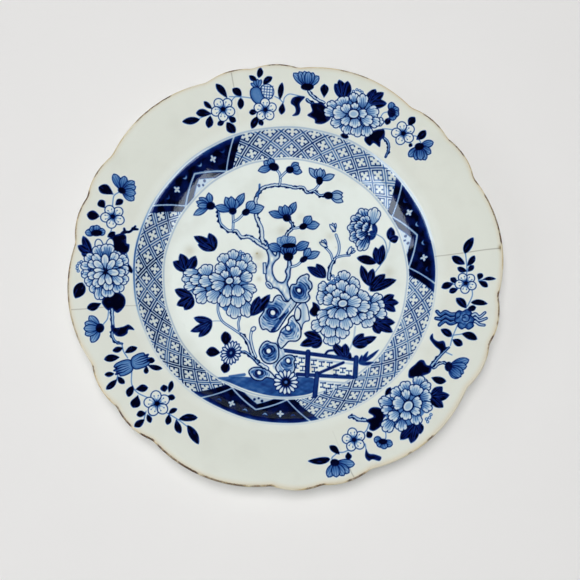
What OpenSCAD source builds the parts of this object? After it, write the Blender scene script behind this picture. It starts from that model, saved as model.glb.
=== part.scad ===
// Blue-and-white china dinner plate with a barbed lip
// One porcelain body in its coats: blue border under the glaze, three glaze coats, a brown lip
// Millimetres, +Z up, the foot ring stands on z = 0 and the plate's axis is the Z axis

/* [Plate] */
// Diameter of the well, at the corner where the wall begins
well_diameter = 129.4; // [100:1:180]
// Distance that the wall runs outwards, from the well to the shoulder
wall_run = 14.7; // [10:0.2:26]
// Width of the flange, from the shoulder to the tips of the long lobes
flange_width = 35.6; // [24:0.1:60]
// Height of the lip above the table
plate_height = 25; // [20:0.5:40]
// Height that the flange climbs from the shoulder to the lip
flange_rise = 4.6; // [2:0.2:7]

/* [Paste] */
// Thickness of the paste under the well
floor_wall = 3; // [2:0.1:5]
// Thickness of the paste in the curved wall
side_wall = 3.7; // [2.5:0.1:5]
// Thickness of the paste under the shoulder
shoulder_wall = 3.4; // [2.5:0.1:5]
// Thickness of the paste at the lip
lip_wall = 1.9; // [1.4:0.1:3]
// Length of the rounding on each side of the well's corner
well_blend = 4; // [2:0.5:6]
// Length of the rounding on each side of the shoulder
shoulder_blend = 2.6; // [1:0.2:4]
// Length of the rounding where the flange levels out at the lip
lip_blend = 3.4; // [2:0.2:6]

/* [Foot] */
// Distance from the well's corner in to the foot ring's outer face
foot_inset = 2.5; // [0.5:0.5:20]
// Depth of the recess inside the foot ring
foot_depth = 4.5; // [4.2:0.1:7]
// Width of the foot ring where it leaves the base
foot_width = 4; // [3.2:0.1:7]
// Width of the foot ring at the table
foot_edge = 2.4; // [1.6:0.1:3]
// Length of the rounding where the foot ring meets the base
foot_blend = 1.6; // [0.6:0.1:2]
// Length of the rounding along the foot ring's edge
foot_round = 0.5; // [0.2:0.1:0.7]
// Height of the foot ring that stays bare of glaze
bare_height = 1.2; // [0.8:0.1:2]

/* [Lip outline] */
// Number of long lobes, each with a pair of small lobes after it
long_lobes = 6; // [4:1:9]
// Direction of the first long lobe
lobe_angle = 9.5; // [0:0.5:60]
// Share of a repeat that the long lobe takes
long_share = 0.61; // [0.5:0.01:0.66]
// Depth of the notch beside a long lobe, before it is rounded
notch_depth = 3.6; // [2:0.1:5]
// Distance that the small lobes stay behind the long ones
small_back = 0.9; // [0.2:0.1:1.2]
// Depth of the dip in a pair of small lobes, before it is rounded
dip_depth = 2.3; // [1.6:0.1:3]
// Radius of the rounding in every notch and dip
notch_radius = 9; // [4:0.5:14]

/* [Coats] */
// Thickness of the glaze and of the brown lip
glaze_coat = 0.25; // [0.15:0.05:0.4]
// Thickness of the blue layer under the glaze
blue_coat = 0.08; // [0.04:0.02:0.12]

/* [Border] */
// Distance from the well's corner out to the trellis
border_start = 1.7; // [1:0.1:4]
// Distance from the trellis out to the shoulder
border_end = 0.2; // [0:0.1:2]
// Number of dark panels in the trellis
panels = 3; // [2:1:5]
// Direction of the first panel
panel_angle = 15; // [0:1:120]
// Half the angle that a panel takes along the trellis's inner edge
panel_inner_half = 15.5; // [8:0.5:18]
// Half the angle that a panel takes along the trellis's outer edge
panel_outer_half = 23.5; // [19:0.5:30]
// Width of the two blue ring lines
line_width = 0.5; // [0.3:0.1:0.9]
// Clear gap between the trellis and each ring line
line_gap = 0.6; // [0.3:0.1:0.9]

/* [Hidden] */
$fn = 120;
// Angle between two points of a rounded corner
arc_step = 4;
// Cutting shapes reach past the plate by this much
past = 10;
// Sides of the half-round lip, and how coarse its stations are along the outline
round_steps = 6;
station_step = 38;
// Share of the room under the brown coat that the paste's lip fills
nose_share = 0.7;

// Radii and heights of the paste's surface
well_radius = well_diameter / 2;
shoulder_radius = well_radius + wall_run;
plate_radius = shoulder_radius + flange_width;
foot_radius = well_radius - foot_inset;
lip_z = plate_height - glaze_coat;
under_lip_z = lip_z - lip_wall;
shoulder_z = lip_z - flange_rise;
base_z = foot_depth + glaze_coat;
well_z = base_z + floor_wall;
bead_radius = lip_wall / 2;
bead_z = lip_z - bead_radius;
// Radius of the finished half-round lip: its line runs this far inside the outline
coat_radius = bead_radius + glaze_coat;
// The paste's square lip reaches this far past that line, under the brown coat
nose_reach = nose_share * sqrt(coat_radius * coat_radius - bead_radius * bead_radius);
level_radius = plate_radius - notch_depth - coat_radius - lip_blend;

// Corners of the paste's profile, each one [radius, height, length of its rounding]
well_corner = [well_radius, well_z];
shoulder_corner = [shoulder_radius, shoulder_z];
wall_way = unit(shoulder_corner - well_corner);
wall_foot = well_corner + side_wall * [wall_way.y, -wall_way.x];
under_level = [level_radius, under_lip_z];
under_shoulder = meet(wall_foot, wall_way, under_level,
                      shoulder_corner - [0, shoulder_wall] - under_level);
under_well = meet(wall_foot, wall_way, [0, base_z], [1, 0]);
foot_lean = (foot_width - foot_edge) / 2;
foot_inner = foot_radius - foot_width;
bare_lean = foot_lean * (1 - bare_height / base_z);

face_corners = [
  [0, well_z, 0],
  [well_radius, well_z, well_blend],
  [shoulder_radius, shoulder_z, shoulder_blend],
  [level_radius, lip_z, lip_blend],
  [plate_radius, lip_z, 0]
];
back_corners = [
  [plate_radius, under_lip_z, 0],
  [level_radius, under_lip_z, lip_blend],
  [under_shoulder.x, under_shoulder.y, shoulder_blend],
  [under_well.x, under_well.y, well_blend],
  [foot_radius, base_z, foot_blend],
  [foot_radius - bare_lean, bare_height, 0]
];
edge_corners = [
  [foot_radius - bare_lean, bare_height, 0],
  [foot_radius - foot_lean, 0, foot_round],
  [foot_inner + foot_lean, 0, foot_round],
  [foot_inner + bare_lean, bare_height, 0]
];
base_corners = [
  [foot_inner + bare_lean, bare_height, 0],
  [foot_inner, base_z, foot_blend],
  [0, base_z, 0]
];
face_path = rounded(face_corners);
back_path = rounded(back_corners);
edge_path = rounded(edge_corners);
base_path = rounded(base_corners);

// Lobes of the lip in turn, each one [direction, distance of its centre, radius]
repeat_angle = 360 / long_lobes;
long_half = long_share * repeat_angle / 2;
small_half = (repeat_angle / 2 - long_half) / 2;
small_tip = plate_radius - small_back;
long_centre = lobe_centre(plate_radius, plate_radius - notch_depth, long_half);
small_centre = lobe_centre(small_tip, plate_radius - dip_depth, small_half);
lobes = [
  for (k = [0 : long_lobes - 1])
    let (turn = lobe_angle + k * repeat_angle, pair = turn + repeat_angle / 2)
      each [
        [turn, long_centre, plate_radius - long_centre],
        [pair - small_half, small_centre, small_tip - small_centre],
        [pair + small_half, small_centre, small_tip - small_centre]
      ]
];
lobe_count = len(lobes);
centres = [for (lobe = lobes) lobe[1] * [cos(lobe[0]), sin(lobe[0])]];
notches = [
  for (i = [0 : lobe_count - 1])
    let (j = (i + 1) % lobe_count)
      outer_meet(centres[i], lobes[i][2] + notch_radius, centres[j], lobes[j][2] + notch_radius)
];

// Plain geometry
function unit(v) = v / norm(v);
function bearing(v) = atan2(v.y, v.x);
function swing(from, to) = (to - from + 720) % 360;

// Point where the line through p along d crosses the line through q along e
function meet(p, d, q, e) = p + d * cross(q - p, e) / cross(d, e);

// Distance from the axis to the centre of a lobe whose tip lies at radius tip,
// and which falls to radius low at an angle half from its middle
function lobe_centre(tip, low, half) = (tip * tip - low * low) / (2 * (tip - low * cos(half)));

// Crossing point, on the outer side, of two circles round the centres p and q
function outer_meet(p, p_radius, q, q_radius) =
  let (
    span = norm(q - p),
    along = (p_radius * p_radius - q_radius * q_radius + span * span) / (2 * span),
    rise = sqrt(p_radius * p_radius - along * along),
    way = unit(q - p)
  )
    p + along * way + rise * [way.y, -way.x];

// Arc that rounds corner b between a and c, reaching blend along each side at most
function corner_arc(a, b, c, blend) =
  let (
    u = unit(a - b),
    v = unit(c - b),
    reach = min(blend, norm(a - b) / 2, norm(c - b) / 2),
    half = acos(u * v) / 2,
    radius = reach * tan(half),
    centre = b + unit(u + v) * radius / sin(half),
    start = bearing(b + u * reach - centre),
    sweep = (swing(start, bearing(b + v * reach - centre)) + 180) % 360 - 180,
    steps = max(2, ceil(abs(sweep) / arc_step))
  )
    [for (i = [0 : steps]) centre + radius * [cos(start + sweep * i / steps), sin(start + sweep * i / steps)]];

// Path through the corners, with each corner rounded by its own length
function rounded(corners) =
  let (last = len(corners) - 1, p = [for (c = corners) [c.x, c.y]])
    [
      for (i = [0 : last])
        each (i == 0 || i == last) ? [p[i]] : corner_arc(p[i - 1], p[i], p[i + 1], corners[i].z)
    ];

// The same path moved by dist to its left
function moved(path, dist) =
  let (last = len(path) - 1)
    [
      for (i = [0 : last])
        let (
          before = unit(path[max(i, 1)] - path[max(i, 1) - 1]),
          after = unit(path[min(i, last - 1) + 1] - path[min(i, last - 1)]),
          middle = unit(before + after)
        )
          path[i] + dist / (middle * before) * [-middle.y, middle.x]
    ];

function reversed(list) = [for (i = [len(list) - 1 : -1 : 0]) list[i]];

// Section of a coat that lies on a path, to its left
module coat_section(path, thickness) {
  polygon(concat(path, reversed(moved(path, thickness))));
}

// Section of the blue layer between two radii
module blue_section(from, to) {
  intersection() {
    coat_section(face_path, blue_coat);
    translate([from, 0]) square([to - from, plate_height]);
  }
}

// The lip's outline in plan, a given distance inside the finished one
module lip_outline(inset) {
  polygon([for (stop = lip_stations) stop[0] + (coat_radius - inset) * stop[1]]);
}

// Cuts a turned form along the lip, a given distance inside the finished outline
module cut_to_lip(inset) {
  intersection() {
    children();
    translate([0, 0, -past]) linear_extrude(plate_height + 2 * past) lip_outline(inset);
  }
}

// Outline of the brown coat's section: a half-round outside and a square seat for the paste inside
// Each point is [distance outwards from the bead's line, height over the bead's line]
dressing_section = concat(
  [
    for (i = [0 : round_steps])
      let (tilt = 180 * i / round_steps - 90)
        coat_radius * [cos(tilt), sin(tilt)]
  ],
  [
    [0, bead_radius],
    [nose_reach, bead_radius],
    [nose_reach, -bead_radius],
    [0, -bead_radius]
  ]
);

// Stations along an arc of the bead's line, each one [point, direction that faces outwards]
function arc_stations(centre, radius, start, sweep, facing) =
  let (steps = ceil(abs(sweep) * sqrt(radius) / station_step))
    [
      for (i = [0 : steps - 1])
        let (way = start + sweep * i / steps)
          [centre + radius * [cos(way), sin(way)], facing * [cos(way), sin(way)]]
    ];

// Stations round the whole lip: each lobe's arc, then the arc in the notch after it
lip_stations = [
  for (i = [0 : lobe_count - 1])
    let (
      before = notches[(i + lobe_count - 1) % lobe_count],
      lobe_start = bearing(before - centres[i]),
      lobe_sweep = swing(lobe_start, bearing(notches[i] - centres[i])),
      notch_start = bearing(centres[i] - notches[i]),
      notch_sweep = -swing(bearing(centres[(i + 1) % lobe_count] - notches[i]), notch_start)
    )
      each concat(
        arc_stations(centres[i], lobes[i][2] - coat_radius, lobe_start, lobe_sweep, 1),
        arc_stations(notches[i], notch_radius + coat_radius, notch_start, notch_sweep, -1)
      )
];

// Sweeps a closed section along closed stations, as one solid of triangles
module swept_ring(stations, section) {
  stops = len(stations);
  sides = len(section);
  points = [
    for (stop = stations, corner = section)
      [stop[0].x + corner.x * stop[1].x, stop[0].y + corner.x * stop[1].y, bead_z + corner.y]
  ];
  faces = [
    for (i = [0 : stops - 1], j = [0 : sides - 1])
      let (
        here = i * sides,
        there = (i + 1) % stops * sides,
        above = (j + 1) % sides
      )
        each [[here + j, here + above, there + j], [here + above, there + above, there + j]]
  ];
  polyhedron(points, faces);
}

// Blocks with slanted ends that mark the panels in plan, wider outwards
module panel_blocks() {
  inner = well_radius + border_start;
  outer = shoulder_radius - border_end;
  for (k = [0 : panels - 1]) {
    turn = panel_angle + k * 360 / panels;
    left_low = inner * [cos(turn + panel_inner_half), sin(turn + panel_inner_half)];
    left_high = outer * [cos(turn + panel_outer_half), sin(turn + panel_outer_half)];
    right_low = inner * [cos(turn - panel_inner_half), sin(turn - panel_inner_half)];
    right_high = outer * [cos(turn - panel_outer_half), sin(turn - panel_outer_half)];
    stretch = 1 + past / norm(left_high - left_low);
    linear_extrude(plate_height + past)
      polygon([
        right_low,
        right_low + stretch * (right_high - right_low),
        (plate_radius + past) * [cos(turn), sin(turn)],
        left_low + stretch * (left_high - left_low),
        left_low
      ]);
  }
}

module trellis_ring() {
  rotate_extrude() blue_section(well_radius + border_start, shoulder_radius - border_end);
}

// Sections of the two ring lines, just inside and just outside the trellis
module line_sections() {
  inner_line = well_radius + border_start - line_gap;
  outer_line = shoulder_radius - border_end + line_gap;
  blue_section(inner_line - line_width, inner_line);
  blue_section(outer_line, outer_line + line_width);
}

module porcelain_body() {
  color("#ece6d8") cut_to_lip(coat_radius - nose_reach) rotate_extrude()
    polygon(concat(face_path, back_path, edge_path, base_path));
}

module face_glaze() {
  color("#dde4dc") cut_to_lip(coat_radius) rotate_extrude() difference() {
    coat_section(face_path, glaze_coat);
    blue_section(well_radius + border_start, shoulder_radius - border_end);
    line_sections();
  }
}

module back_glaze() {
  color("#d9e1da") cut_to_lip(coat_radius) rotate_extrude() coat_section(back_path, glaze_coat);
}

module base_glaze() {
  color("#d5ddd7") rotate_extrude() coat_section(base_path, glaze_coat);
}

module rim_dressing() {
  color("#a8824a") swept_ring(lip_stations, dressing_section);
}

module trellis_border() {
  color("#6f8cbf") difference() {
    trellis_ring();
    panel_blocks();
  }
}

module reserve_panels() {
  color("#151d4a") intersection() {
    trellis_ring();
    panel_blocks();
  }
}

module ring_lines() {
  color("#5d7ab0") rotate_extrude() line_sections();
}

porcelain_body();
face_glaze();
back_glaze();
base_glaze();
rim_dressing();
trellis_border();
reserve_panels();
ring_lines();
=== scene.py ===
import math

import bpy
import numpy as np
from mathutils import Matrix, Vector


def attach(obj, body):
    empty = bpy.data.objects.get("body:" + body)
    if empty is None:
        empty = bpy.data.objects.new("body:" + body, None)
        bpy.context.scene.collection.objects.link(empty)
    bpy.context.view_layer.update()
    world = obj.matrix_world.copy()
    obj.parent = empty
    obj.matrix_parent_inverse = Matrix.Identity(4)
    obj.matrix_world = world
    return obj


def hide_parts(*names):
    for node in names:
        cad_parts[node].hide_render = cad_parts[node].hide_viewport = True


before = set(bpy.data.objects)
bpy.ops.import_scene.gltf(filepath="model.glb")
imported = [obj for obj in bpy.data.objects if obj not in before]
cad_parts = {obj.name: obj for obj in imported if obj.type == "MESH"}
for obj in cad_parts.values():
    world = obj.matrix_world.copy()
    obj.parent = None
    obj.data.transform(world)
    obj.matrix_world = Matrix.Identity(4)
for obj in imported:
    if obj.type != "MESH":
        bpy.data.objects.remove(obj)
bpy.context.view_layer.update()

# Sizes of the plate in millimetres, as in the part's source
MM = 0.001
WELL_RADIUS = 64.7
WALL_RUN = 14.7
FLANGE_WIDTH = 35.6
PLATE_HEIGHT = 25.0
FLANGE_RISE = 4.6
WELL_BLEND = 4.0
SHOULDER_BLEND = 2.6
LIP_BLEND = 3.4
WELL_Z = 7.75
GLAZE = 0.25
LIP_WALL = 1.9
LONG_LOBES = 6
LOBE_ANGLE = 9.5
LONG_SHARE = 0.61
NOTCH_DEPTH = 3.6
SMALL_BACK = 0.9
DIP_DEPTH = 2.3
NOTCH_RADIUS = 9.0
BORDER_INNER = 66.4
BORDER_OUTER = 79.2
SHOULDER_RADIUS = WELL_RADIUS + WALL_RUN
PLATE_RADIUS = SHOULDER_RADIUS + FLANGE_WIDTH
LIP_ROUND = LIP_WALL / 2 + GLAZE
BEAD_Z = PLATE_HEIGHT - LIP_ROUND
SEED = 1760
chance = np.random.default_rng(SEED)


def unit(value):
    """A value held between 0 and 1"""
    return np.clip(value, 0, 1)


def pairs(places):
    """Complex places as rows of x and y"""
    return np.stack([places.real, places.imag], 1)


# Outline of the lip
def lobe_centre(tip, low, half):
    """Distance from the axis to the centre of a lobe that falls from tip to low"""
    return (tip * tip - low * low) / (2 * (tip - low * math.cos(half)))


def outer_meet(p, p_radius, q, q_radius):
    """Crossing point, on the outer side, of two circles round p and q"""
    span = abs(q - p)
    along = (p_radius ** 2 - q_radius ** 2 + span ** 2) / (2 * span)
    rise = math.sqrt(p_radius ** 2 - along ** 2)
    return p + (along - 1j * rise) * (q - p) / span


LIP_STEP = 0.35


def lip_line():
    """Points along the line 1.2 mm inside the lip, and the outward direction at each"""
    repeat = math.tau / LONG_LOBES
    long_half = LONG_SHARE * repeat / 2
    small_half = (repeat / 2 - long_half) / 2
    small_tip = PLATE_RADIUS - SMALL_BACK
    long_mid = lobe_centre(PLATE_RADIUS, PLATE_RADIUS - NOTCH_DEPTH, long_half)
    small_mid = lobe_centre(small_tip, PLATE_RADIUS - DIP_DEPTH, small_half)
    lobes = []
    for k in range(LONG_LOBES):
        turn = math.radians(LOBE_ANGLE) + k * repeat
        lobes.append((turn, long_mid, PLATE_RADIUS - long_mid))
        for side in (-1, 1):
            lobes.append((turn + repeat / 2 + side * small_half, small_mid, small_tip - small_mid))
    mids = [mid * np.exp(1j * turn) for turn, mid, radius in lobes]
    radii = [lobe[2] for lobe in lobes]
    count = len(lobes)
    notches = []
    for i in range(count):
        j = (i + 1) % count
        notches.append(outer_meet(mids[i], radii[i] + NOTCH_RADIUS, mids[j], radii[j] + NOTCH_RADIUS))
    points = []
    facing = []

    def arc(mid, radius, start, end, side):
        steps = max(2, int(abs(end - start) * radius / LIP_STEP))
        way = np.exp(1j * np.linspace(start, end, steps, endpoint=False))
        points.append(mid + radius * way)
        facing.append(side * way)

    for i in range(count):
        start = np.angle(notches[i - 1] - mids[i])
        end = start + (np.angle(notches[i] - mids[i]) - start) % math.tau
        arc(mids[i], radii[i] - LIP_ROUND, start, end, 1)
        start = np.angle(mids[i] - notches[i])
        end = start - (start - np.angle(mids[(i + 1) % count] - notches[i])) % math.tau
        arc(notches[i], NOTCH_RADIUS + LIP_ROUND, start, end, -1)
    return np.concatenate(points), np.concatenate(facing)


lip_points, lip_facing = lip_line()


def lip_reach(turn):
    """Radius of the lip line in a direction"""
    around = np.angle(lip_points)
    order = np.argsort(around)
    return np.interp(turn, around[order], np.abs(lip_points)[order], period=math.tau)


# Profile of the glazed face
ARC_POINTS = 24


def corner_arc(a, b, c, blend):
    """Points of the arc that rounds corner b"""
    u = (a - b) / abs(a - b)
    v = (c - b) / abs(c - b)
    half = abs(np.angle(v / u)) / 2
    radius = blend * math.tan(half)
    middle = b + (u + v) / abs(u + v) * radius / math.sin(half)
    start = np.angle(b + u * blend - middle)
    sweep = np.angle((b + v * blend - middle) / (b + u * blend - middle))
    return middle + radius * np.exp(1j * (start + sweep * np.linspace(0, 1, ARC_POINTS)))


level_radius = PLATE_RADIUS - NOTCH_DEPTH - LIP_ROUND - LIP_BLEND
lip_z = PLATE_HEIGHT - GLAZE
corners = [
    complex(0, WELL_Z),
    complex(WELL_RADIUS, WELL_Z),
    complex(SHOULDER_RADIUS, lip_z - FLANGE_RISE),
    complex(level_radius, lip_z),
    complex(PLATE_RADIUS, lip_z),
]
blends = (WELL_BLEND, SHOULDER_BLEND, LIP_BLEND)
paste = np.concatenate(
    [corners[:1]]
    + [corner_arc(*corners[i:i + 3], blend) for i, blend in enumerate(blends)]
    + [corners[-1:]]
)
slope = np.gradient(paste)
face_path = paste + GLAZE * 1j * slope / np.abs(slope)


def face_height(radius):
    """Height of the glazed face at a radius"""
    return np.interp(radius, face_path.real, face_path.imag)


# A layer of paint over the plan of the plate: half its width, its cells, and a brush's soft edge
HALF = 116.0
CELL = 0.11
SOFT = 0.2
FAR_OFF = 99.0
TINY = 1e-9
SIDE = int(2 * HALF / CELL)


def off_line(x, y, a, b):
    """How far along the line from a to b each place lies, from 0 to 1, and how far from the line"""
    run = b - a
    along = unit(((x - a[0]) * run[0] + (y - a[1]) * run[1]) / max(run @ run, TINY))
    return along, np.hypot(x - a[0] - along * run[0], y - a[1] - along * run[1])


class Layer:
    """How thick one paint lies at each place of the plan"""

    def __init__(self):
        self.depth = np.zeros((SIDE, SIDE), np.float32)

    def window(self, points, margin):
        """The cells round some points: the part of the layer, and where its cells lie"""
        low = np.min(points, 0) - margin
        high = np.max(points, 0) + margin
        first = np.clip((low + HALF) / CELL, 0, SIDE - 1).astype(int)
        last = np.clip((high + HALF) / CELL + 1, 1, SIDE).astype(int)
        x = (np.arange(first[0], last[0]) + 0.5) * CELL - HALF
        y = (np.arange(first[1], last[1]) + 0.5) * CELL - HALF
        part = self.depth[first[1]:last[1], first[0]:last[0]]
        return part, *np.meshgrid(x, y)

    def stroke(self, points, width, tone, lay=False):
        """A brush line whose width may run from one value to another; lay covers what is below it"""
        points = np.asarray(points, float)
        widths = np.linspace(*np.broadcast_to(width, 2), len(points))
        part, x, y = self.window(points, widths.max() + SOFT)
        gap = np.full(x.shape, FAR_OFF)
        for a, b, w_a, w_b in zip(points, points[1:], widths, widths[1:]):
            along, away = off_line(x, y, a, b)
            gap = np.minimum(gap, away - (w_a + along * (w_b - w_a)) / 2)
        cover = unit(0.5 - gap / SOFT)
        if lay:
            part += (tone - part) * cover
        else:
            np.maximum(part, tone * cover, out=part)

    def fill(self, outline, wash, line=0.0, line_tone=0.85):
        """A wash inside an outline, even or from a function, with a line along its edge"""
        outline = np.asarray(outline, float)
        part, x, y = self.window(outline, line + SOFT)
        near = np.full(x.shape, FAR_OFF)
        inside = np.zeros(x.shape, bool)
        for a, b in zip(outline, np.roll(outline, -1, 0)):
            near = np.minimum(near, off_line(x, y, a, b)[1])
            if a[1] != b[1]:
                run = b - a
                crossed = (a[1] > y) != (b[1] > y)
                inside ^= crossed & (x < a[0] + (y - a[1]) * run[0] / run[1])
        deep = np.where(inside, near, -near)
        cover = unit(0.5 + deep / SOFT)
        tone = wash(x, y, deep) if callable(wash) else wash
        part += (tone - part) * cover
        if line:
            edge = unit(0.5 + (line / 2 - near) / SOFT)
            np.maximum(part, line_tone * edge, out=part)

    def blurred(self, spread):
        """The layer with its edges softened over a distance"""
        reach = max(1, int(3 * spread / CELL))
        weights = np.exp(-0.5 * (np.arange(-reach, reach + 1) * CELL / spread) ** 2)
        weights /= weights.sum()
        out = self.depth
        for axis in (0, 1):
            out = sum(w * np.roll(out, k - reach, axis) for k, w in enumerate(weights))
        return out


ink = Layer()
SMOOTH_STEPS = 6
OVAL_POINTS = 20
BLADE_POINTS = 14


def smooth(points, closed=False):
    """A smooth line through a few points"""
    p = np.asarray(points, float)
    if closed:
        q = np.vstack([p[-1:], p, p[:2]])
    else:
        q = np.vstack([2 * p[:1] - p[1:2], p, 2 * p[-1:] - p[-2:-1]])
    t = np.linspace(0, 1, SMOOTH_STEPS, endpoint=False)[:, None]
    bits = []
    for a, b, c, d in zip(q, q[1:], q[2:], q[3:]):
        bits.append(b + 0.5 * t * (c - a + t * (2 * a - 5 * b + 4 * c - d + t * (3 * (b - c) + d - a))))
    if not closed:
        bits.append(p[-1:])
    return np.vstack(bits)


def oval(x, y, wide, tall, turn=0.0):
    """Outline of an oval"""
    way = np.linspace(0, math.tau, OVAL_POINTS, endpoint=False)
    shape = wide * np.cos(way) + 1j * tall * np.sin(way)
    shape = shape * np.exp(1j * math.radians(turn)) + complex(x, y)
    return pairs(shape)


def mottle(x, y, size):
    """Uneven brush load: a wandering wave between -1 and 1 with features of about one size"""
    u = x / size
    v = y / size
    first = np.sin(2.1 * u + 1.3 * np.sin(1.7 * v))
    second = np.sin(1.9 * v - 1.1 * np.sin(2.3 * u + 1))
    return (first + second + np.sin(1.3 * u + 1.6 * v + 2)) / 3


def blade(base, tip, width, fat=1.0, bend=0.0, keen=0.72):
    """Outline of a leaf or petal; fat over 1 is widest near the tip, keen over 1 is sharp at both ends"""
    base = complex(*base)
    way = complex(*tip) - base
    t = np.linspace(0, 1, BLADE_POINTS)
    half = width / 2 * np.sin(np.pi * t ** fat) ** keen
    arch = bend * np.sin(np.pi * t) * abs(way)
    across = np.concatenate([arch + half, (arch - half)[-2:0:-1]])
    along = np.concatenate([t, t[-2:0:-1]])
    shape = base + way * along + 1j * way / abs(way) * across
    return pairs(shape)


def patch(points, wash, line=0.0, line_tone=0.85):
    """A wash inside a smooth outline, with a line along its edge"""
    ink.fill(smooth(points, True), wash, line, line_tone)


# Motifs of the painting
def leaf(base, tip, width, fat=1.0, bend=0.0, tone=1.0):
    """A dark leaf in one brush load, streaked along its length and paler at its edge"""
    start = complex(*base)
    way = complex(*tip) - start
    phase = 3 * start.real + start.imag

    def wash(x, y, deep):
        place = (x + 1j * y - start) / way
        over = place.imag * abs(way)
        streak = np.sin(3.0 * over + 2 * place.real + phase)
        lift = unit(np.abs(place.real - 0.45) * 2 - 0.6)
        edge = unit(1 - deep / 0.7) * (0.1 + 0.08 * np.sign(over) * math.cos(phase))
        uneven = 0.08 * streak + 0.08 * mottle(x, y, 1.4) - 0.18 * lift
        return tone * (1.05 + uneven - edge)

    ink.fill(blade(base, tip, width, fat, bend + 0.05 * math.sin(phase)), wash)


def lobed_leaf(base, tips, width, tone=0.94):
    """A dark leaf of several pointed lobes with paler veins"""
    for tip in tips:
        leaf(base, tip, width, tone=tone)
    base = np.asarray(base, float)
    for tip in tips:
        run = np.asarray(tip, float) - base
        side = 0.1 * np.array([-run[1], run[0]])
        ink.stroke([base + 0.2 * run, base + 0.85 * run], (0.5, 0.2), 0.74, lay=True)
        ink.stroke([base + 0.35 * run + side, base + 0.8 * run + side], (0.45, 0.2), 0.78, lay=True)


def dark_shape(points):
    """A broad dark leaf of any outline"""
    def wash(x, y, deep):
        return 0.86 + 0.2 * unit(deep / 1.6) + 0.08 * mottle(x, y, 1.6)

    patch(points, wash)


def petal(base, tip, width, lobes, tone, edge=1.0):
    """A scalloped petal: blue at its base, white along its tip, with a dark edge"""
    start = complex(*base)
    way = complex(*tip) - start
    length = abs(way)
    half = width / length / 2
    t = np.linspace(0.0, 1.0, 6, endpoint=False)
    side = 0.5 * t + 0.86j * half * (0.3 + 0.7 * np.sin(t * np.pi / 2))
    swing = np.linspace(np.pi / 2, -np.pi / 2, 8 * lobes + 1)
    wave = 0.84 + 0.16 * np.abs(np.sin(lobes * (swing + np.pi / 2))) ** 0.6
    end = 0.5 + wave * (0.5 * np.cos(swing) + 1j * half * np.sin(swing))
    shape = start + way * np.concatenate([side, end, side.conj()[::-1]])

    def wash(x, y, deep):
        place = (x + 1j * y - start) / way
        hatch = 1 + 0.4 * np.sin(5.6 * place.imag * length / (0.5 + np.abs(place.real)) + start.real)
        rim = np.where(place.real > 0.4, np.clip((deep - 0.4) / 1.4, 0.06, 1), 1)
        return tone * (1.7 - 1.1 * place.real) * rim * hatch

    ink.fill(pairs(shape), wash, 0.5, edge)
    for corner in (shape[:3], shape[-3:][::-1]):
        ink.stroke(pairs(corner), (1.0, 0.4), edge)
    for k in range(1, lobes):
        notch = start + way * end[8 * k]
        inner = notch - 0.14 * way
        ink.stroke([(notch.real, notch.imag), (inner.real, inner.imag)], (0.7, 0.15), 0.95 * edge)


def petals(tone, lobes, rows, edge=1.0):
    """Petals in the order they were painted, each row [base x, base y, tip x, tip y, width]"""
    for base_x, base_y, tip_x, tip_y, width in rows:
        petal((base_x, base_y), (tip_x, tip_y), width, lobes, tone, edge)


def heart(x, y, wide, tall, turn):
    """The round middle petal of a peony"""
    def wash(x, y, deep):
        return 0.3 * np.clip((deep - 0.6) / 0.8, 0.1, 1)

    ink.fill(oval(x, y, wide, tall, turn), wash, 0.8, 0.96)


def stamens(*dots):
    """A tuft of small ringed dots"""
    for x, y in dots:
        ink.fill(oval(x, y, 0.62, 0.62), 0.1, 0.42, 0.8)


FIFTH = 72


def plum(x, y, turn, size):
    """A white five-petalled blossom with dotted stamens"""
    for k in range(5):
        aim = turn + FIFTH * k
        way = np.array([math.cos(math.radians(aim)), math.sin(math.radians(aim))])
        mid = np.array([x, y]) + 0.88 * size * way
        ink.fill(oval(*mid, 0.64 * size, 0.6 * size, aim), 0.02, 0.5, 0.97)
    for k in range(10):
        way = math.radians(turn + FIFTH / 2 * k)
        far = size * (0.8 if k % 2 else 0.56)
        ink.stroke([(x, y), (x + far * math.cos(way), y + far * math.sin(way))], (1.3, 0.25), 0.68)
    ink.fill(oval(x, y, 0.26 * size, 0.24 * size), 1.0)
    for k in range(5):
        for side in (-17, 13):
            way = math.radians(turn + FIFTH * k + side)
            dot = (x + 0.96 * size * math.cos(way), y + 0.96 * size * math.sin(way))
            ink.stroke([(x, y), dot], (0.5, 0.2), 0.6)
            ink.fill(oval(*dot, 0.32, 0.28), 0.98)


def flower(calyx, tips, width, tone=0.52, cup=(2.2, 2.2, 0.0), keen=0.95, edge=0.98):
    """Blue petals that spread from a dark cup"""
    calyx = np.asarray(calyx, float)
    for tip in tips:
        def wash(x, y, deep):
            start = complex(*calyx)
            way = complex(*tip) - start
            place = (x + 1j * y - start) / way
            streak = np.sin(5.5 * place.imag * abs(way) + tip[0])
            return tone * (1.4 - 0.65 * place.real + 0.2 * streak)
        ink.fill(blade(calyx, tip, 1.12 * width, 1.35, 0.0, keen), wash, 0.5, edge)
    ink.fill(oval(*calyx, *cup), 1.0)


BLUNT = 0.6


def half_open(calyx, tips, width, tone, cup):
    """A flower of blunt petals that stand close together"""
    flower(calyx, tips, width, tone, cup, BLUNT)


def stem(points, width, tone):
    """A thin stalk, or any smooth line of the brush"""
    ink.stroke(smooth(points), width, tone)


def stems(width, lines):
    """Pale thin stalks"""
    for points in lines:
        stem(points, width, 0.5)


def leaves(rows):
    """Dark leaves, each row [base x, base y, tip x, tip y, width, fat]"""
    for base_x, base_y, tip_x, tip_y, width, fat in rows:
        leaf((base_x, base_y), (tip_x, tip_y), width, fat)


def stalk(points, width):
    """A pale stalk between two thin edges"""
    line = smooth(points)
    ink.stroke(line, width, 0.84)
    ink.stroke(line, width - 0.75, 0.07, lay=True)


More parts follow.
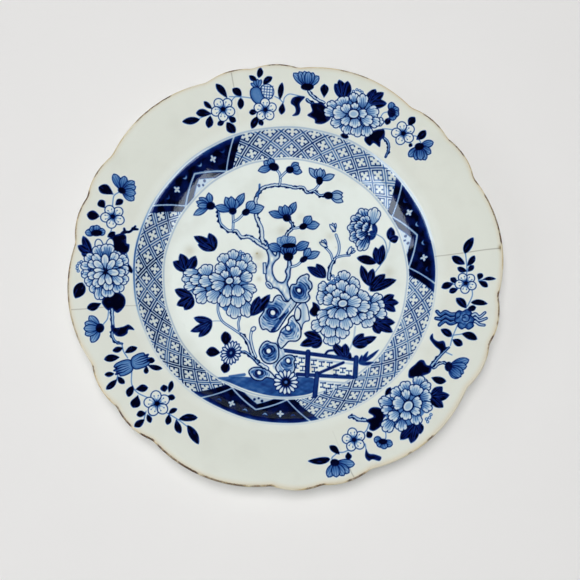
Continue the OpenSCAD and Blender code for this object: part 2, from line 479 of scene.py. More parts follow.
def branch(points, width, tone=0.14):
    """A branch between two dark edges, with knots along it"""
    line = smooth(points)
    line[1:-1] += 0.36 * (chance.random((len(line) - 2, 2)) - 0.5)
    widths = np.broadcast_to(width, 2)
    ink.stroke(line, widths + 0.1, 0.97)
    ink.stroke(line + 0.1, np.maximum(widths - 0.9, 0.25), 0.7 * tone, lay=True)
    for k in range(2, len(line) - 2, 4):
        side = chance.choice([-1, 1])
        run = line[k + 1] - line[k - 1]
        off = side * np.array([-run[1], run[0]]) / np.hypot(*run) * np.mean(widths) / 2
        knot = [line[k - 1] + 0.8 * off, line[k] + 1.25 * off, line[k + 1] + 0.8 * off]
        ink.stroke(knot, (0.6, 0.9), 1.0)


def chrysanthemum(x, y, size, count, flat=1.0, turn=0.0):
    """Narrow white petals round a dark eye"""
    spin = np.exp(1j * math.radians(turn))
    for k in range(count):
        way = np.exp(1j * math.tau * k / count)
        inner = complex(x, y) + complex(0.28 * size * way.real, 0.28 * size * flat * way.imag) * spin
        outer = complex(x, y) + complex(size * way.real, size * flat * way.imag) * spin
        broad = 4.6 * size / count * (0.6 + 0.4 * flat)
        shape = blade((inner.real, inner.imag), (outer.real, outer.imag), broad, 1.5)
        ink.fill(shape, 0.05, 0.6, 0.88)
    ink.fill(oval(x, y, 0.34 * size, 0.34 * size * flat, turn), 0.95)
    ink.fill(oval(x, y, 0.12 * size, 0.12 * size * flat, turn), 0.5)


ROCK_RINGS = (1.1, 1.6, 2.2, 3.2, 4.6, 7.0)
ROCK_TONES = (0.98, 0.86, 0.7, 0.58, 0.4, 0.26)


def rock(points, eye, eye_size, pale=1.0):
    """A pierced garden rock: rings and swirls of wash round its hole"""
    def wash(x, y, deep):
        far = np.hypot(x - eye[0], y - eye[1])
        way = np.arctan2(y - eye[1], x - eye[0])
        tone = pale * np.interp(far / eye_size, ROCK_RINGS, ROCK_TONES)
        lines = np.sin(4.8 * far + 1.6 * np.sin(2 * way + eye[0]) + 1.8 * mottle(x, y, 1.7))
        broken = unit(0.55 + 0.9 * mottle(x + 4, y, 1.5))
        tone += 0.3 * lines * broken + 0.18 * mottle(x, y + 2, 1.1)
        return np.clip(tone, 0.04, 0.98) * np.clip(0.75 * deep - 0.1, 0.12, 1)

    patch(points, wash, 0.7, 1.0)
    ink.fill(oval(*eye, eye_size, 1.1 * eye_size, 20), 0.02, 0.5, 0.92)


def bar(a, b, width, tone=0.78):
    """A flat timber of the fence, darker along its edges"""
    ink.stroke([a, b], width, 0.93)
    ink.stroke([a, b], width - 0.75, tone, lay=True)


# Border round the well: trellis, panels and ring lines, in millimetres and degrees
TRELLIS_ROW = 73.9
TRELLIS_RISE = 4.1
TRELLIS_TURN = math.radians(4.5)
TRELLIS_START = math.radians(92.0)
TRELLIS_CELL = 6.7
BAR_PLACES = (0.0, 0.24, 0.38, 0.8, 0.92, 1.34, 1.46)
BAR_TONES = (1.1, 1.05, 0.07, 0.07, 1.2, 1.2, 0.0)
BAR_BEAT = math.tau * 15 / 40
BLOSSOM_TONE = 1.2
PANELS = (16.6, 131.8, 258.0)
PANEL_HALF = 16.2
PANEL_FLARE = 0.66
PANEL_LINE = 12.7
PANEL_DEGREE = 1.28
CHEVRON_TOP = 7.3
CHEVRON_FALL = 0.56
PEAK_TOP = 4.4
PEAK_FALL = 0.62
BLOSSOM_SIDE = 10.0
BLOSSOM_UP = 8.0
WHITE_LINE = 0.55
BORDER_LEFT = 0.3
BORDER_DOWN = 0.5
INNER_RING = 65.5
OUTER_RING = 80.0
# Direction towards which the trellis is painted darker, as painted shade on the wall that faces away from
# the key light
SHADED_SIDE = math.radians(190)
RING_SIDE = 176
RING_SPAN = 24
TICK_HALF = 0.42
TICK_FROM = 0.85
CORNER_UP = 2.2
CORNER_OVER = 3.0
PETAL_OUT = 0.95
PETAL_LONG = 0.85
PETAL_WIDE = 0.55


def trellis(radius, turn):
    """Crossed lines between pale bands, with a framed four-petalled blossom in each opening"""
    rise = (radius - TRELLIS_ROW) / TRELLIS_RISE
    run = (turn - TRELLIS_START) / TRELLIS_TURN
    first = (rise + run) / 2 + 0.02 * np.sin(12 * turn + 2.1 * rise)
    second = (rise - run) / 2 + 0.02 * np.sin(14 * turn - 1.7 * rise + 2)
    loads = [0.8 + 0.2 * np.sin(BAR_BEAT * np.floor(way)) for way in (first, second)]
    first -= np.round(first)
    second -= np.round(second)
    up = np.abs(first + second) * TRELLIS_RISE
    over = np.abs(first - second) * TRELLIS_TURN * TRELLIS_ROW
    across = np.abs(first) * TRELLIS_CELL
    along = np.abs(second) * TRELLIS_CELL
    depth = np.full(radius.shape, 0.03)
    for near, far in ((across, along), (along, across)):
        tick = unit((TICK_HALF - near) / SOFT) * unit((far - TICK_FROM) / 0.35)
        depth = np.maximum(depth, BLOSSOM_TONE * tick)
    away = TRELLIS_CELL / 2 - np.maximum(across, along)
    load = np.where(across > along, *loads)
    tip = unit(np.maximum(up - CORNER_UP, over - CORNER_OVER) / 0.5) * unit((away - 0.8) / 0.1)
    bars = np.maximum(load * np.interp(away, BAR_PLACES, BAR_TONES), BLOSSOM_TONE * tip)
    return np.where(away < BAR_PLACES[-1], bars, depth)


def panel(radius, turn):
    """A dark panel with two white blossoms, a white chevron and a small peak inside it"""
    up = radius - BORDER_INNER
    over = np.degrees(turn)
    side = np.abs(over)
    depth = 0.98 + 0.07 * mottle(over, up, 2.2)
    depth -= 0.16 * unit((up - 10.2) / 2)

    def line(gap, width):
        return unit(1 - (np.abs(gap) - width / 2) / 0.25)

    white = 0.85 * line((side - (PANEL_LINE + PANEL_FLARE * up)) * 1.1, WHITE_LINE)
    white = np.maximum(white, 0.85 * line(0.88 * (up - (CHEVRON_TOP - CHEVRON_FALL * side)), WHITE_LINE))
    inner = unit((PEAK_TOP - PEAK_FALL * side - up) / 0.4)
    dots = (np.hypot((side - 1.7) * 1.2, up - 2.0) < 0.75) | (np.hypot(side * 1.2, up - 0.9) < 0.6)
    white = np.maximum(white, inner * np.where(dots, 0.1, 0.9))
    across = (side - BLOSSOM_SIDE) * PANEL_DEGREE
    lift = up - BLOSSOM_UP
    cross = np.minimum(
        np.hypot(across / PETAL_WIDE, (np.abs(lift) - PETAL_OUT) / PETAL_LONG),
        np.hypot((np.abs(across) - PETAL_OUT) / PETAL_LONG, lift / PETAL_WIDE),
    )
    white = np.maximum(white, unit((1.25 - cross) / 0.4))
    for tick, bright in ((4.0, 0.7), (15.0, 0.3)):
        run = (side - tick) * PANEL_DEGREE
        mark = np.hypot(run / 1.3, (up - 8.6 - 0.5 * run * run) / 0.42)
        white = np.maximum(white, bright * unit((1.2 - mark) / 0.4))
    return depth * (1 - 0.93 * white)


def paint_border():
    """Trellis, three panels and the two ring lines, worked out from radius and angle"""
    place = (np.arange(SIDE) + 0.5) * CELL - HALF
    x, y = np.meshgrid(place + BORDER_LEFT, place + BORDER_DOWN)
    radius = np.hypot(x, y)
    ring = (radius > BORDER_INNER - 4) & (radius < BORDER_OUTER + 4)
    r = radius[ring]
    turn = np.arctan2(y[ring], x[ring])
    wobble = 0.12 * np.sin(7 * turn) + 0.1 * np.sin(17 * turn + 1)
    # The trellis is laid darker towards 190 degrees, where the wall faces away from the key light:
    # painted shade
    depth = trellis(r, turn + 0.004 * np.sin(5 * turn)) * (0.88 + 0.1 * np.cos(turn - SHADED_SIDE))
    for middle in PANELS:
        local = (turn - math.radians(middle) + np.pi) % math.tau - np.pi
        within = np.degrees(np.abs(local)) < PANEL_HALF + PANEL_FLARE * (r - BORDER_INNER)
        depth = np.where(within, panel(r, local), depth)
    depth *= unit(np.minimum(r - BORDER_INNER - wobble, BORDER_OUTER + wobble - r) / SOFT + 0.5)
    inner_line = unit(1 - (np.abs(r - INNER_RING - wobble) - 0.25) / 0.3)
    outer_line = unit(1 - (np.abs(r - OUTER_RING - wobble) - 0.3) / 0.3)
    strong = unit(1.2 - np.abs((np.degrees(turn) % 360) - RING_SIDE) / RING_SPAN)
    depth = np.maximum(depth, 0.2 * inner_line)
    depth = np.maximum(depth, outer_line * (0.08 + 0.55 * strong + 0.14 * unit(np.sin(turn))))
    ink.depth[ring] = np.maximum(ink.depth[ring], depth)


def paint_fence():
    """The well: the ground wash along the lower edge, and the fence with its brackets"""
    ground = [
        (-36, -55.3), (-24, -54.6), (-12, -55.4), (14, -55.2), (15, -62.5), (4, -65.2), (-8, -64.8),
        (-20, -61.8), (-30, -57.8),
    ]

    def wash(x, y, deep):
        return 0.68 + 0.09 * mottle(0.5 * x, y, 1.8) + 0.05 * mottle(0.5 * x, y, 0.7)

    patch(ground, wash)
    ink.stroke([(-30, -54.4), (-22, -53.6)], (0.8, 1.6), 0.62)
    bar((-2, -40.6), (36, -45.5), 2.0)
    ink.stroke([(-2, -43.2), (36, -48.0)], 1.0, 0.22)
    bar((6, -53.4), (36, -55.2), 1.9)
    ink.stroke([(18, -57.0), (33, -58.2)], 0.9, 0.2)
    bar((11.8, -41.5), (11.2, -54.0), 2.6)
    bar((37.4, -44.6), (36.6, -54.8), 2.6)
    bar((16.6, -53.0), (15.2, -65.0), 2.6)
    bar((17.5, -52.8), (30.5, -47.2), 1.5, 0.85)
    for x, y in (
        (14.8, -46.8), (19.0, -47.6), (23.2, -48.0), (15.2, -50.6), (26.6, -52.0), (30.2, -51.0),
        (33.4, -52.4), (4.6, -44.6), (8.4, -45.6), (5.6, -48.6), (9.0, -50.0), (19.6, -58.8),
        (23.6, -59.6), (27.4, -60.0), (21.4, -61.6),
    ):
        ink.stroke([(x - 1.4, y + 0.9), (x + 1.4, y + 0.7)], 0.5, 0.92)
        ink.stroke([(x, y + 0.8), (x - 0.1, y - 1.5)], 0.5, 0.92)
        ink.stroke([(x - 1.3, y - 1.4), (x + 0.9, y - 1.6)], 0.46, 0.85)
        ink.fill(oval(x + 1.2, y + 0.7, 0.5, 0.45), 0.98)
        ink.fill(oval(x - 1.1, y - 1.4, 0.45, 0.4), 0.95)
    for tip in ((43.8, -41), (49.6, -40.2), (46.8, -47.2), (40.5, -43)):
        leaf((38.8, -48), tip, 2.0, tone=0.82)


def paint_tree():
    """The well: the magnolia's trunk, branches and blossoms"""
    def bark(x, y, deep):
        return 0.12 + 0.55 * unit(1 - deep / 1.1) + 0.16 * mottle(x, 0.5 * y, 0.8)

    patch([
        (-12.8, 18.6), (-10.8, 14.4), (-9.4, 10), (-9.8, 6), (-10.8, 2), (-10.4, -3), (-7.4, -6.4),
        (-4.6, -7.4), (-2, -10.4), (0, -13.6), (1.8, -13.8), (2.7, -11.6), (1.8, -7.4), (0.8, -4.4),
        (2.1, -1), (2.4, 2.8), (3, 5.4), (2.4, 8.6), (1.2, 8.4), (0.8, 4.6), (-0.3, 2.2), (0.4, 0),
        (-0.6, -3), (-2.4, -4), (-5, -2.8), (-7, 0.8), (-7.3, 4.6), (-5.8, 7.6), (-3.6, 9.8),
        (-3.4, 13.2), (-5, 13), (-5.4, 10.8), (-7.2, 12.4), (-9, 15.6), (-10.6, 19),
    ], bark, 0.6, 1.0)
    ink.fill([(-12.3, 6.8), (-10.8, 6.9), (-10.5, 0.8), (-12.1, 1)], 0.12, 0.5, 0.9)
    ink.fill(oval(-9, -5.4, 1.3, 2.4, 40), 0.1, 0.5, 0.92)
    ink.stroke([(-9.7, -4.8), (-8.3, -6.3)], 0.7, 0.97)
    branch([(-11.6, 17.4), (-13, 20.4), (-13.4, 26), (-15.6, 31), (-16.6, 36), (-16.9, 39)], (2.6, 1.9))
    branch([
        (-16.8, 39), (-16.2, 43), (-13.4, 48), (-8, 50), (-2, 50.2), (5, 48.8), (9, 49), (11.6, 46),
        (15.2, 46.8), (18.4, 44.4), (21, 44.6),
    ], (2.1, 1.3))
    branch([
        (-10.5, 15), (-16, 18.6), (-20, 21.2), (-24, 21), (-27, 24.4), (-31, 24.7), (-35.6, 28.6),
        (-36.4, 33), (-37, 36),
    ], (2.4, 1.0))
    branch([(0, 21.5), (1.4, 24), (3.6, 26), (3.2, 28.6), (1.2, 31)], (1.8, 1.2))
    stem([(-14.4, 50.6), (-14.6, 47.6), (-15.6, 44)], 1.2, 0.6)
    for points in (
        [(-3.4, 50.4), (-3, 54), (-3.6, 57), (-5.2, 59)],
        [(-3, 54.6), (-1.2, 56.6), (1, 58.6)],
        [(13, 46.6), (16, 48), (18.4, 51)],
        [(-28.8, 25.2), (-28.6, 29), (-28.8, 33.5)],
        [(-28.4, 29.6), (-25.6, 31.4), (-23, 34.2)],
        [(3.8, 26), (6, 26.2), (8.4, 26.8)],
        [(2.6, 4.6), (6, 5.6), (8.8, 8)],
    ):
        stalk(points, 1.35)
    flower((-6.6, 60.6), [(-12.2, 63.4), (-9.2, 65), (-15.2, 58.4)], 3.6, cup=(2.9, 2.3, -20))
    flower((2.2, 59), [(8.8, 57.6), (6.8, 62.8), (7.6, 60.4)], 3.4, cup=(2.2, 2.1, 0))
    flower((18.4, 52.8), [
        (12.8, 60), (26.6, 56), (16.6, 59.4), (20.8, 59), (18.8, 59.8),
    ], 3.2, 0.42, (1.9, 2.5, 0))
    flower((23.2, 44.4), [(31, 45.8), (31.2, 40.8), (31, 43.6)], 3.4, 0.36, (2.6, 2.1, 0))
    flower((-41, 38.6), [
        (-42.2, 45.8), (-50.2, 33.4), (-47.2, 43), (-48.8, 40.8), (-48.2, 38.6),
    ], 3.2, cup=(2.4, 2.3, 0))
    flower((-29, 35.6), [
        (-38.6, 38.2), (-22.8, 45.6), (-33, 43.4), (-26.6, 42), (-30, 43.8),
    ], 3.8, 0.55, (2.2, 2.0, 0))
    flower((-21.8, 35), [(-12, 38), (-17.4, 41.2)], 4.6, 0.46, (2.3, 1.9, 30))
    flower((0.6, 31.8), [
        (-9.2, 35), (5.4, 40.6), (-3.6, 38.2), (2.4, 38), (-0.6, 39),
    ], 3.6, 0.58, (2.3, 2.2, 0))
    flower((9.4, 27), [(18.2, 28.2), (13.6, 32.8)], 4.2, 0.52, (2.3, 1.8, 25))
    flower((0.6, 16.4), [(-4.6, 20.4), (-1.4, 21.8), (4.8, 21)], 4.6, 0.42, (2.0, 1.2, 0), edge=0.66)
    flower((-1.2, 13.4), [(-9.6, 16.6)], 4.4, 0.54, (1.0, 1.0, 0))
    flower((3.8, 13.6), [(12.4, 18)], 4.4, 0.54, (1.0, 1.0, 0))
    flower((1.4, 10.2), [(-2.4, 15.8), (5.4, 15.8), (0, 16), (3, 16)], 3.6, 0.66, (2.7, 2.4, 0))
    ink.fill(oval(1.6, 16.4, 3.9, 1.4, 4), 1.0)
    flower((9.6, 8.8), [(18.2, 12.8), (13, 15)], 3.6, 0.5, (2.4, 1.6, 35))


def paint_rocks():
    """The well: pierced rocks round the foot of the tree"""
    def shade(x, y, deep):
        return 0.2 + 0.16 * mottle(x + y, 0.4 * (x - y), 0.7)

    def pale(x, y, deep):
        return 0.06 + 0.22 * unit(1.2 - np.abs(x - 9.4) / 1.4)

    patch([
        (-5.4, -36), (-1.2, -40.4), (-0.8, -45), (-2.6, -48), (-3.2, -51), (-7, -50), (-6, -44),
    ], shade)
    patch([
        (4.6, -21.8), (5.6, -17.6), (8, -15.4), (10, -14.8), (11.6, -17.6), (12.2, -21), (12.5, -24.4),
        (10.4, -25.2), (9, -26.8), (8.2, -29.8), (7.2, -27.2), (5.4, -25.2),
    ], pale, 0.55, 0.92)
    stem([(6.4, -17.4), (7.8, -19), (7.9, -22), (7.1, -24.2), (5.6, -24.6)], (0.6, 1.0), 0.97)
    rock([
        (-2.4, -29.8), (1, -26.4), (1.6, -23.8), (4, -22), (5.4, -24.8), (7.2, -26.8), (8, -29.6),
        (7.8, -33.4), (5.6, -35.6), (1.6, -35.8), (-0.6, -38), (-2.8, -39.6), (-4.4, -36), (-3.4, -32.6),
    ], (1.2, -28.8), 1.4, 0.66)
    stem([(-2.2, -31), (0.2, -32.2), (2.6, -31.6), (3.4, -29)], (0.9, 0.5), 0.8)
    rock([
        (-9.8, -14.6), (-7.2, -14.6), (-6.2, -12.4), (-4.6, -11), (-2.8, -11.2), (-1.6, -13.4),
        (0, -14.4), (2, -14), (3.4, -11.4), (5.6, -14.6), (4.4, -17.6), (0.8, -22.2), (-2.2, -26.8),
        (-4.6, -30), (-8, -30.8), (-10.4, -29.2), (-12.4, -29.4), (-13.8, -27), (-14.2, -23.6),
        (-12.6, -21), (-11.6, -19), (-11.8, -16.4),
    ], (-7, -20.4), 1.5)
    ink.stroke([(3.4, -13.6), (0, -17.8), (-3.6, -23.4)], (2.0, 0.8), 0.14, lay=True)
    ink.stroke([(2.6, -15.8), (-0.6, -20), (-3.2, -23.2)], (0.4, 0.7), 0.5)
    ink.stroke([(1.2, -19.8), (-2.6, -24.2), (-6.8, -29.8)], (0.9, 2.2), 0.74)
    ink.stroke([(-0.6, -21), (-3.2, -23.6)], (1.0, 1.4), 0.97)
    ink.stroke([(-6, -28.6), (-7.4, -30)], (1.0, 1.4), 0.95)
    rock([
        (2.3, -7), (3.2, -5.2), (5.6, -4.8), (6.2, -2.6), (8, -0.6), (10, 0.2), (11.4, 0.7), (12.5, -0.4),
        (12.2, -2.4), (13.7, -4.2), (14, -6.6), (12.8, -8.6), (12, -9.8), (12.8, -12.4), (11, -14.6),
        (8, -15), (5, -14.6), (3, -12.6), (2.2, -10),
    ], (7, -8.3), 1.2)
    stem([(10.8, -4.4), (12.2, -6), (12.6, -7.4)], (0.5, 0.9), 0.95)
    rock([
        (-14.2, -41.6), (-12.8, -37.6), (-10.2, -35.7), (-7.8, -36.6), (-5, -37.4), (-3.8, -41),
        (-4.4, -45.6), (-8, -47.8), (-12, -46.4),
    ], (-9.2, -41), 1.4)
    rock([
        (-1.6, -44.6), (0.6, -43.3), (3.4, -43.4), (5, -45.2), (4.3, -47), (4.8, -49.6), (4, -52.2),
        (1, -53.4), (-3.6, -52.8), (-5.4, -50), (-4, -47),
    ], (1.2, -46.2), 1.3, 0.85)
    rock([
        (-19.6, -52.4), (-18, -50.2), (-14.6, -49.7), (-10.6, -50.6), (-7.4, -53), (-5.4, -56),
        (-8.6, -55.4), (-10.6, -55.2), (-13, -56.8), (-17, -56),
    ], (-14.2, -52.6), 1.2)


def paint_left_peony():
    """The well: the left peony with its stalks and leaves"""
    stalk([(-36.4, -16), (-36.2, -20), (-34, -25), (-28.4, -29), (-24, -32)], 1.3)
    branch([(-24, -32), (-20.6, -36), (-18, -43), (-15, -47), (-10, -50.4)], (1.5, 2.2), 0.12)
    stalk([(-24.6, -23), (-25.4, -26), (-25, -29.6)], 1.2)
    stalk([(-18.2, -29.6), (-18.8, -34), (-17.6, -40), (-16, -44)], 1.5)
    ink.fill(oval(-17.4, -29.2, 1.5, 1.0, 40), 0.05, 0.5, 0.9)
    stem([(-39.4, -25), (-37, -24.8), (-34, -25)], 0.5, 0.32)
    lobed_leaf((-38.4, 13.8), [(-50, 21.6), (-41.8, 23.4), (-47.8, 17)], 5.2)
    lobed_leaf((-53.4, 2), [(-61, 7.6), (-57.2, 12), (-48.8, 10.8)], 5.6)
    lobed_leaf((-49.8, -11.6), [(-59.8, -7.8), (-58.6, -16.4), (-54.4, -19)], 5.4)
    lobed_leaf((-39.4, -24.8), [(-49.4, -23.2), (-51, -30.6), (-46.6, -33.6)], 4.4)
    for x, y, wide, tall in ((-44, -4.4, 9, 7.6), (-27.6, 2, 9.6, 10), (-27.6, -12, 9, 9)):
        ink.fill(oval(x, y, wide, tall), 0.5)
    petals(0.31, 3, (
        (-49, -1, -56, -2.4, 6), (-47, 2, -55.4, 1.2, 5), (-48, -5, -54.8, -6.6, 5.5),
        (-42, -0.4, -44.4, 5.8, 9), (-43, -8, -50, -9.4, 6), (-42, -9, -47.6, -14.8, 7),
        (-44.4, -2.4, -52, -2.6, 6.4), (-38.6, -3, -47, -3.4, 7.4), (-36, -8.6, -42, -14, 8.4),
        (-28.5, 8, -28.5, 14.2, 6.4), (-32.5, 6.4, -34.8, 11.8, 7), (-23, 6, -20.2, 11.8, 6.4),
        (-21.4, 3.2, -16.2, 5.4, 7.4), (-32.4, 2.4, -38, 5.2, 7.4), (-28.8, 3.4, -30.2, 9.2, 6),
        (-25, 2.4, -23, 8.2, 7), (-24.6, -2, -18.2, 0.2, 6.8), (-28.4, -1, -26, 4.8, 7),
        (-32, -2.4, -33.6, 2.8, 5), (-33, -3, -41.8, -0.6, 6), (-33, -4.2, -40.2, -6.8, 6),
        (-24, -6.2, -15.8, -8.4, 6), (-24, -7.4, -19.2, -14.2, 6.4), (-27, -14.4, -27.8, -23.6, 9.4),
        (-22.6, -14, -20, -22.8, 7.4), (-31.4, -8.4, -34.4, -17.4, 8), (-26, -9, -25.4, -17.8, 8.6),
        (-31, -5, -31.6, -12.2, 6.2), (-26.6, -5, -25.2, -11.8, 7.8), (-28.4, -4.8, -25, -1, 5.2),
    ))
    heart(-30.4, -3, 2.3, 2.0, 20)
    stamens((-24.6, 13), (-23.2, 12), (-22.4, 10.8), (-24.8, 11.2))
    lobed_leaf((-18.6, -22.2), [(-8.4, -10.4), (-14.2, -11.4)], 5.4)


def paint_right_peony():
    """The well: the right peony with its buds, stalks and leaves"""
    branch([(23.2, -2), (23.8, 4), (26.4, 9)], (2.0, 1.6), 0.3)
    stalk([(26, 8.4), (28.4, 12), (28.8, 17), (27.2, 22.4)], 1.4)
    stalk([(25.2, 8.6), (24.2, 12), (21.8, 15)], 1.3)
    stalk([(27.2, 9.8), (31, 10.8), (34.4, 11)], 1.2)
    for x, y, turn in ((26, 25.4, 100), (21.2, 16.4, 120), (34.2, 12.6, 40)):
        for side in (-28, 0, 28):
            far = np.exp(1j * math.radians(turn + side)) * 5.0
            base = (x - 0.3 * far.real, y - 0.3 * far.imag)
            tip = (x + 0.7 * far.real, y + 0.7 * far.imag)
            ink.fill(blade(base, tip, 1.9), 0.05, 0.46, 0.92)
    stem([(34, -40), (36, -35), (37, -28)], 0.9, 0.24)
    stem([(48.6, 23), (53, 20), (54.6, 15), (54, 10), (50.6, 5), (46.4, -1), (44.6, -8)], 0.6, 0.42)
    stem([(56.4, 18.6), (56, 15.4), (55, 12.6)], 0.8, 0.26)
    lobed_leaf((56, 19.4), [(57.2, 26.6), (61, 21)], 4.6)
    lobed_leaf((50.6, 5.6), [(48.4, 15.6), (52.6, 17)], 4.8)
    leaf((48.8, 6.6), (38.2, 9.6), 5.0, bend=-0.08)
    lobed_leaf((44.8, -6), [(40.6, 5.6), (47, 3.8)], 4.6)
    lobed_leaf((45.2, -8.8), [(59.6, -2.4), (53.6, 0.8)], 5.4)
    lobed_leaf((21.4, -1.4), [(11.4, 4.6), (16.4, 6.4)], 4.8)
    lobed_leaf((51.6, -15.4), [(58.2, -10.6), (60.6, -15), (58.8, -19.8)], 4.4)
    lobed_leaf((46.8, -26), [(58.4, -25.8), (54.6, -22.6), (50.2, -31.8), (57, -31)], 5.2)
    lobed_leaf((35.4, -37.6), [(48.4, -33.4), (44, -37), (41.6, -31.6)], 4.6)
    dark_shape([
        (12.6, -19.6), (14.2, -17), (14.4, -14.6), (17.6, -16.4), (18.2, -19.4), (15.8, -22.4),
        (13.4, -21.6),
    ])
    lobed_leaf((19.4, -35.2), [(7.4, -38), (9.6, -31.4), (13.6, -39)], 5.2)
    lobed_leaf((31.8, -44.4), [(25, -36.8), (31.6, -37), (34.4, -42)], 4.8)
    stem([(21, -42.6), (22.6, -41), (26, -40.6)], 1.2, 0.9)
    for x, y, wide, tall in ((28.8, -8.8, 8.4, 7.2), (42.6, -18, 9, 7.4), (25.4, -26, 8.6, 9.4)):
        ink.fill(oval(x, y, wide, tall), 0.5)
    petals(0.29, 3, (
        (31, -3, 31.6, 2.6, 7), (34.4, -6, 39.2, -3, 8), (22, -7.4, 17.6, -5.2, 6.4),
        (21.6, -12, 16.4, -12.4, 8), (25, -10, 23.6, -4.8, 6.4), (30.4, -9, 30, -2.4, 7.4),
        (34, -12, 36.4, -4.8, 8), (28, -13, 27.4, -7.4, 6.4), (25.6, -14.6, 20.2, -12, 7.4),
        (31, -14, 32.4, -9.6, 6.4), (29, -16.6, 25.4, -12.4, 6), (46, -15, 51.6, -11, 6.4),
        (47.4, -16, 53.2, -16.6, 6.4), (47.4, -20.4, 54, -21.2, 6.8), (39.6, -13.6, 43.6, -9.4, 8.4),
        (42, -21.8, 46, -27.8, 9), (44, -17.6, 50.4, -18.4, 7.4), (42.4, -20, 46.8, -22.8, 5.4),
        (37, -17, 45.4, -17, 7.4), (37, -20.4, 38.4, -26.8, 7.4), (39, -21, 43.4, -23.6, 4.4),
        (32.4, -16, 40.6, -13.4, 7.2), (33, -17.4, 37.6, -22.2, 6.8), (23, -20, 16.8, -23.6, 7.4),
        (20.4, -25.6, 13.8, -29, 7.4), (24, -22.6, 18, -27.4, 6.4), (24.4, -31, 24.4, -38.2, 9.4),
        (23.6, -27, 22, -33.8, 8.6), (29, -27, 30.8, -34.4, 8), (26, -21.4, 25, -29, 9.2),
        (31, -22, 32.8, -30, 7.6), (27, -18, 23.2, -23.2, 6.4), (29.4, -18, 29.6, -24.6, 7.8),
    ))
    heart(30.5, -15.4, 2.7, 2.2, 10)
    stamens((25.4, -0.4), (26.6, -1.8), (28, -0.8), (25.6, -3), (27.4, -3.4))


def paint_small_flowers():
    """The well: a peony seen from the side, and two chrysanthemums"""
    lobed_leaf((49, 22.6), [(47.4, 29.4), (44, 19.4), (45, 24)], 3.0, 0.86)
    for tip, width, tone in (
        ((40.4, 37), 8.0, 0.52), ((35.6, 32.4), 8.4, 0.58), ((33.4, 26.4), 8.0, 0.58),
        ((34.6, 19.6), 7.6, 0.54), ((39.4, 13.6), 7.4, 0.46), ((48.8, 37.6), 7.6, 0.24),
        ((41, 32.4), 7.4, 0.54), ((37, 27.4), 7.6, 0.56), ((38, 21.4), 7.0, 0.5),
        ((41.6, 27.4), 6.4, 0.46),
    ):
        petal(np.array([46.2, 25.2]) * 0.75 + np.array(tip) * 0.25, tip, width, 3, 1.25 * tone)
    leaf((-32, -38), (-32.4, -30.4), 5.6, 1.1)
    leaf((-34.8, -42), (-42.6, -41.6), 5.4, 1.3)
    leaf((-30.8, -46.4), (-32.8, -52.8), 5.0, 1.3)
    branch([(-27, -42), (-22, -41.6), (-18.4, -44), (-15, -47.4)], (1.2, 1.5), 0.3)
    chrysanthemum(-29.2, -42, 6.6, 17, 0.8, 65)
    chrysanthemum(0, -57.6, 6.8, 15)


